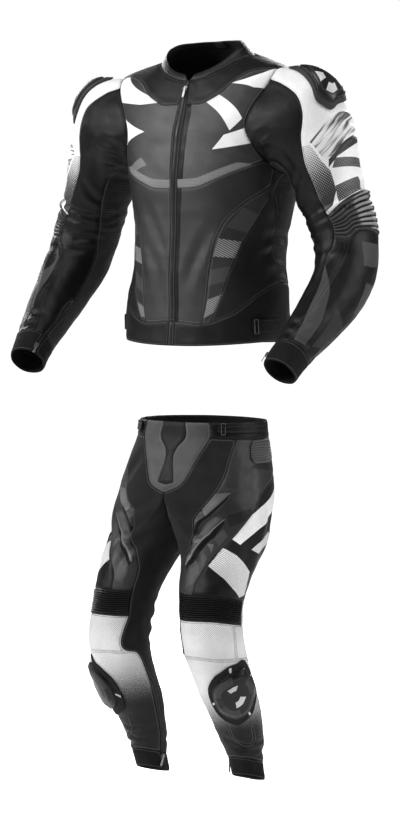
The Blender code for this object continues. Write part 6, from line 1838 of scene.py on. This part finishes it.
def cap(name, region, flip, outline, centre, profile, detail, looks, look_of, slot):
    """A moulded cap: rings from a closed outline to its centre, over a shallow hollow underside."""
    outline, centre = rounded(outline, CAP_TURNS), np.array(centre, float)
    shares = np.concatenate([np.linspace(*run) for run in CAP_RINGS])
    turn = np.arange(CAP_TURNS) / CAP_TURNS
    rings = [(share, np.full(CAP_TURNS, rise)) for share, rise in UNDERSIDE]
    rings += [(share, smooth(*np.array(profile).T, share) + bumps(detail, share, turn)) for share in shares]
    rows = [centre + (outline - centre) * share for share, _ in rings]
    flat = np.concatenate(rows + [centre[None], centre[None]])
    height = np.concatenate([rise for _, rise in rings] + [[CAP_HOLLOW], [profile[0][1]]])
    place, out = on_skin(region, flat[:, 0], flat[:, 1], flip)
    points = place + out * (HARD_GAP + height)[:, None]
    count, last, under = len(rows), (len(rows) - 1) * CAP_TURNS, len(UNDERSIDE)
    bottom, top = count * CAP_TURNS, count * CAP_TURNS + 1
    faces, index = [], []
    for i in range(CAP_TURNS):
        j = (i + 1) % CAP_TURNS
        faces += [(bottom, j, i), (top, last + i, last + j)]
        index += [0, look_of(0.0, i / CAP_TURNS)]
        for row in range(count - 1):
            a, b = row * CAP_TURNS, (row + 1) * CAP_TURNS
            faces.append((a + i, a + j, b + j, b + i))
            index.append(0 if row < under else look_of(shares[row - under], i / CAP_TURNS))
    if (flip > 0) == (region in TURNED):
        faces = [face[::-1] for face in faces]
    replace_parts(make_piece(name + "_look", points, faces, looks, slot, index, sharp=SHARP_CAP), name)


def cup_look(share, turn):
    """Which of a cup's looks lies at a place: base, plastic or light block."""
    if share > 0.80:
        return 0
    if 0.28 < share < 0.56 and (0.10 < turn < 0.20 or 0.30 < turn < 0.46):
        return 2
    return 1 if share < 0.565 or share > 0.60 else 0


def slider_look(share, turn):
    """Which of a knee slider's looks lies at a place: base, plastic, light block or a bevel with a painted
    highlight.
    """
    if share > 0.79:
        return 2 if min(abs(turn - at) for at in BASE_TICKS) < 0.006 and share < 0.95 else 0
    if 0.20 < share < 0.36 and (0.60 < turn < 0.76 or 0.05 < turn < 0.24):
        return 2
    # painted highlight on the bevel facets in these turns
    highlit_bevel = 0.12 < turn < 0.36 or 0.44 < turn < 0.62 or 0.80 < turn < 0.94
    return 3 if 0.44 < share < 0.70 and highlit_bevel else 1


def plate(name, region, flip, u_range, v_range, rise, wall, look, rows, turns=24, corner=0.25,
          relief=None):
    """A flat patch with rounded ends that lies on the cloth: a closed shell."""
    s, t = np.meshgrid(np.linspace(-1, 1, turns), np.linspace(-1, 1, rows))
    s, t = s.ravel(), t.ravel()
    pull = 1 - corner * np.clip((np.abs(s) - 0.7) / 0.3, 0, 1) ** 2 * (np.abs(t) ** 2)
    u = (u_range[0] + u_range[1]) / 2 + (u_range[1] - u_range[0]) / 2 * s
    v = (v_range[0] + v_range[1]) / 2 + (v_range[1] - v_range[0]) / 2 * t * pull
    low, out = skin.on_cloth(region, u, v, rise, flip)
    lift = np.full(len(u), wall)
    if relief is not None:
        lift = lift + relief(s, t)
    high = low + out * lift[:, None]
    n = turns * rows
    grid = [(r * turns + c, r * turns + c + 1, (r + 1) * turns + c + 1, (r + 1) * turns + c)
            for r in range(rows - 1) for c in range(turns - 1)]
    rim = ([c for c in range(turns)] + [r * turns + turns - 1 for r in range(1, rows)]
           + [(rows - 1) * turns + c for c in range(turns - 2, -1, -1)]
           + [r * turns for r in range(rows - 2, 0, -1)])
    faces = [tuple(reversed(face)) for face in grid] + [tuple(i + n for i in face) for face in grid]
    faces += [(a, b, b + n, a + n) for a, b in zip(rim, rim[1:] + rim[:1])]
    width = np.linalg.norm(low[turns - 1] - low[0])
    length = np.linalg.norm(low[-1] - low[turns - 1])
    edge = np.minimum((1 - np.abs(s)) * width / 2, (1 - np.abs(t)) * length / 2)
    along = (s + 1) * width / 2 + (t + 1) * length / 2
    data = np.stack([s * width / 2, t * length / 2, edge + 0.0004, along], -1)
    first, second, third = (high[k] for k in grid[0][:3])
    if np.cross(second - first, third - second) @ out[0] < 0:
        faces = [face[::-1] for face in faces]
    made = make_piece(name, np.concatenate([low, high]), faces, [STYLES[look]], "black_leather",
                      data=np.concatenate([data, data]))
    top = high.reshape(rows, turns, 3)
    down, right = top[1:, :-1] - top[:-1, :-1], top[:-1, 1:] - top[:-1, :-1]
    area = np.linalg.norm(np.cross(down, right), axis=-1).sum()
    return made, (width, max(length, area / width))


def block(centre, across, along, out, size):
    """The eight points of a box, sized (across, along, out) about its centre."""
    corners = np.array(list(itertools.product((-0.5, 0.5), repeat=3))) * size
    return centre + corners[:, :1] * across + corners[:, 1:2] * along + corners[:, 2:] * out


BLOCK_FACES = ((0, 1, 3, 2), (4, 6, 7, 5), (0, 4, 5, 1), (2, 3, 7, 6), (0, 2, 6, 4), (1, 5, 7, 3))


def blocks(name, boxes, look):
    """Boxes as one object."""
    faces = []
    for n, box in enumerate(boxes):
        a, b, c, d = (box[k] for k in (1, 2, 4, 0))
        turned = np.cross(c - d, b - d) @ (a - d) < 0
        for face in BLOCK_FACES:
            face = tuple(i + 8 * n for i in face)
            faces.append(face[::-1] if turned else face)
    make_piece(name, np.concatenate(boxes), faces, [HARD[look]], "zip_metal")


def zip_fastener(name, region, flip, corners, hinge):
    """Two rows of teeth along a line, and the slider body under the pull tab's hinge."""
    line = curve(corners, SCALES[region], 400) if len(corners) > 2 else np.linspace(*corners, 400)
    along = cumulative(SURFACES[region](line[:, 0], line[:, 1]))
    at = np.arange(TOOTH_PITCH, along[-1] - TOOTH_PITCH / 2, TOOTH_PITCH / 2)
    u, v = (np.interp(at, along, line[:, k]) for k in (0, 1))
    place, out = skin.on_cloth(region, u, v, CHAIN_RISE, flip)
    ahead = np.gradient(place, axis=0)
    ahead /= np.linalg.norm(ahead, axis=1, keepdims=True)
    boxes = []
    for n in range(len(place)):
        across = np.cross(out[n], ahead[n])
        side = 1 if n % 2 else -1
        boxes.append(block(place[n] + across * side * TOOTH_SIDE, across, ahead[n], out[n], TOOTH))
    blocks(name + "_teeth", boxes, "zip_teeth")
    spot, normal = on_skin(region, *map(np.array, hinge), flip)
    near = int(np.linalg.norm(place - spot, axis=1).argmin())
    down = ahead[near] * (1 if ahead[near][2] < 0 else -1)
    down = down - normal * (down @ normal)
    down /= np.linalg.norm(down)
    across = np.cross(normal, down)
    boxes = [block(spot + down * a + across * b + normal * c, across, down, normal, (wide, tall, deep))
             for (a, b, c), (tall, wide, deep) in SLIDER_BODY]
    blocks(name + "_slider", boxes, "zip_metal")


def buckle(name, region, flip, u, v, tall):
    """A rectangle of wire that stands on the cloth."""
    at = np.array([v - tall / 2, v, v + tall / 2])
    place, out = skin.on_cloth(region, np.full(3, float(u)), at, BUCKLE_RISE, flip)
    along = (place[2] - place[0]) / np.linalg.norm(place[2] - place[0])
    across = np.cross(out[1], along)
    wide = 2 * WIRE_SIDE + WIRE
    bars = [block(place[1] + across * s * WIRE_SIDE, across, along, out[1], (WIRE, tall, WIRE))
            for s in (-1, 1)]
    bars += [block(place[1] + along * s * tall / 2, across, along, out[1], (wide, WIRE, WIRE))
             for s in (-1, 1)]
    blocks(name, bars, "zip_metal")


def hip_relief(s, t):
    """Nine level ribs on a hip patch."""
    return 0.0016 * np.abs(np.sin(math.pi * 4.5 * (t + 1))) ** RIB_ROUNDNESS


def make_hard_pieces():
    """Caps, zips, straps and buckles; gives (patch, flat size, the panel it lies on) for each patch."""
    made = []
    for side, flip in SIDES:
        cap("shoulder_cup_" + side, "sleeve", flip, CUP_OUTLINE, CUP_CENTRE, CUP_PROFILE, CUP_DETAIL,
            [HARD["cup_base"], HARD["cup_plastic"], HARD["white_plastic"]], cup_look, "cup_plastic")
        cap("knee_slider_" + side, "leg", flip, SLIDER_OUTLINE, SLIDER_CENTRE, SLIDER_PROFILE,
            SLIDER_DETAIL, [HARD["hook_base"], HARD["slider_plastic"], HARD["white_plastic"],
                            HARD["slider_bevel_highlight"]], slider_look, "slider_plastic")
        zip_fastener("wrist_zip_" + side, "sleeve", flip, WRIST_CHAIN, WRIST_HINGE)
        zip_fastener("calf_zip_" + side, "leg", flip, CALF_CHAIN, CALF_HINGE)
        strap, size = plate("waist_strap_%s_look" % side, "leg", flip, (-50, 15), (-0.7735, -0.7555),
                            0.0014, 0.0020, "black_leather", turns=40, rows=8)
        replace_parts(strap, "waist_strap_" + side)
        made.append((strap, size, "waistband"))
        strap, size = plate("hem_strap_" + side, "body", flip, (60, 90), (0.020, 0.056), 0.0006, 0.0018,
                            "black_leather", turns=30, rows=12)
        made.append((strap, size, "hem_band"))
        ribs, size = plate("hip_ribs_" + side, "leg", flip, (-14, 20), (-0.838, -0.789), 0.0006, 0.0012,
                           "hip_ribs", rows=73, corner=0.5, relief=hip_relief)
        made.append((ribs, size, "outer_leg_" + side))
        for name, region, *place in BUCKLES:
            buckle(name + side, region, flip, *place)
    zip_fastener("front_zip", "body", 1, FRONT_CHAIN, FRONT_HINGE)
    patch, size = plate("neck_patch", "collar", 1, (172, 188), (0.36, 0.90), -0.0046, 0.0010,
                        "grey_block", rows=12, corner=0.5)
    made.append((patch, size, "collar"))
    return made


# --- the garments --------------------------------------------------------------------------------
skin = Skin()
for make_patch in (body_patch, collar_patch, sleeve_patch, leg_patch):
    skin.add(make_patch())
skin.finish()
skin.displace(skin.height + fold_height(skin) * calm(skin))

owners = {}
for label, (faces, _, _) in skin.faces.items():
    for number in np.unique(faces):
        owners.setdefault(int(number), set()).add(label)
for label in skin.faces:
    name = plain_name(label)
    style, slot = PANELS[name]
    cloth_object = make_cloth(skin, label, WALLS.get(name, LEATHER_WALL), style)
    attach(cloth_object, SUIT)
    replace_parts(cloth_object, label)
    size, area = cut(skin, label)
for strap, size, carrier in make_hard_pieces():
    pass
for node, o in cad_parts.items():
    if plain_name(node).endswith("_tab"):
        o.data.materials.clear()
        o.data.materials.append(HARD["zip_metal"])


# --- camera, light and floor --------------------------------------------------------------------
CAMERA_AZIMUTH = math.radians(35)
CAMERA_RISE = math.radians(4)
CAMERA_DISTANCE = 12.0
FRAME_HEIGHT = 1.767
FRAME_CENTRE = (-0.0194, -0.733)
SENSOR = 36.0
STUDIO_CENTRE = Vector((0, 0, -0.75))   # the lights face this place
FLOOR_Z = -1.545
FLOOR_REACH = 30           # from the middle to each side
WHITE_GLOW = 0.97          # the floor as the camera sees it, and as it lights the suit
DIM_GLOW = 0.14
WORLD_LIGHT = 0.10         # how brightly the white world lights the suit
# Lamps: (name, degrees to the right of the camera, height, distance, size, power).
LIGHTS = (
    ("key", -74, 2.0, 3.6, 1.3, 120),
    ("fill", 74, 1.6, 3.6, 1.3, 66),
    ("top", -8, 4.3, 2.2, 1.8, 84),
    ("rim_left", 158, 1.6, 3.2, 1.2, 52),
    ("rim_right", -150, 1.4, 3.2, 1.2, 46),
)

toward = Vector((math.sin(CAMERA_AZIMUTH), -math.cos(CAMERA_AZIMUTH), 0))
right = Vector((math.cos(CAMERA_AZIMUTH), math.sin(CAMERA_AZIMUTH), 0))
look = toward * math.cos(CAMERA_RISE) + Vector((0, 0, 1)) * math.sin(CAMERA_RISE)
up = Vector((0, 0, 1)) * math.cos(CAMERA_RISE) - toward * math.sin(CAMERA_RISE)
target = right * FRAME_CENTRE[0] + up * FRAME_CENTRE[1]


def turned_to(axis_z, axis_x, place):
    """The pose of a camera or lamp that looks against axis_z from a place."""
    axis_y = axis_z.cross(axis_x)
    matrix = Matrix((axis_x, axis_y, axis_z)).transposed().to_4x4()
    matrix.translation = place
    return matrix


camera_data = bpy.data.cameras.new("camera")
camera_data.sensor_fit = "VERTICAL"
camera_data.sensor_height = SENSOR
camera_data.lens = SENSOR * CAMERA_DISTANCE / FRAME_HEIGHT
camera = bpy.data.objects.new("camera", camera_data)
camera.matrix_world = turned_to(look, right, target + look * CAMERA_DISTANCE)
bpy.context.scene.collection.objects.link(camera)
bpy.context.scene.camera = camera

for name, azimuth, height, distance, size, power in LIGHTS:
    turn = math.radians(azimuth) + CAMERA_AZIMUTH
    spot = STUDIO_CENTRE + Vector((math.sin(turn) * distance, -math.cos(turn) * distance, height))
    lamp_data = bpy.data.lights.new(name, "AREA")
    lamp_data.size = size
    lamp_data.energy = power
    lamp = bpy.data.objects.new(name, lamp_data)
    back = (spot - STUDIO_CENTRE).normalized()
    side = Vector((0, 0, 1)).cross(back).normalized()
    lamp.matrix_world = turned_to(back, side, spot)
    bpy.context.scene.collection.objects.link(lamp)

floor_mesh = bpy.data.meshes.new("floor")
floor_corners = [(x * FLOOR_REACH, y * FLOOR_REACH, FLOOR_Z)
                 for x, y in ((-1, -1), (1, -1), (1, 1), (-1, 1))]
floor_mesh.from_pydata(floor_corners, [], [(0, 1, 2, 3)])
floor_look = Graph("floor")
floor_tone = floor_look.band(floor_look.noise(3.0), 0.3, 0.7, 0.84, 0.88)
seen = floor_look.node("LightPath", {}).outputs["Is Camera Ray"]
glow = floor_look.node("MapRange", {"Value": seen, "To Min": DIM_GLOW, "To Max": WHITE_GLOW}).outputs[0]
floor_mesh.materials.append(floor_look.surface(floor_look.grey(floor_tone), 0.9, glow=glow))
floor = bpy.data.objects.new("floor", floor_mesh)
bpy.context.scene.collection.objects.link(floor)

world = bpy.data.worlds.new("studio")
world.use_nodes = True
sky = world.node_tree.nodes
sky.clear()
path = sky.new("ShaderNodeLightPath")
strength = sky.new("ShaderNodeMapRange")
strength.inputs["To Min"].default_value = WORLD_LIGHT
strength.inputs["To Max"].default_value = 1.0
background = sky.new("ShaderNodeBackground")
background.inputs["Color"].default_value = (1, 1, 1, 1)
out = sky.new("ShaderNodeOutputWorld")
world.node_tree.links.new(path.outputs["Is Camera Ray"], strength.inputs["Value"])
world.node_tree.links.new(strength.outputs[0], background.inputs["Strength"])
world.node_tree.links.new(background.outputs[0], out.inputs[0])
bpy.context.scene.world = world
bpy.context.scene.view_settings.view_transform = "Standard"
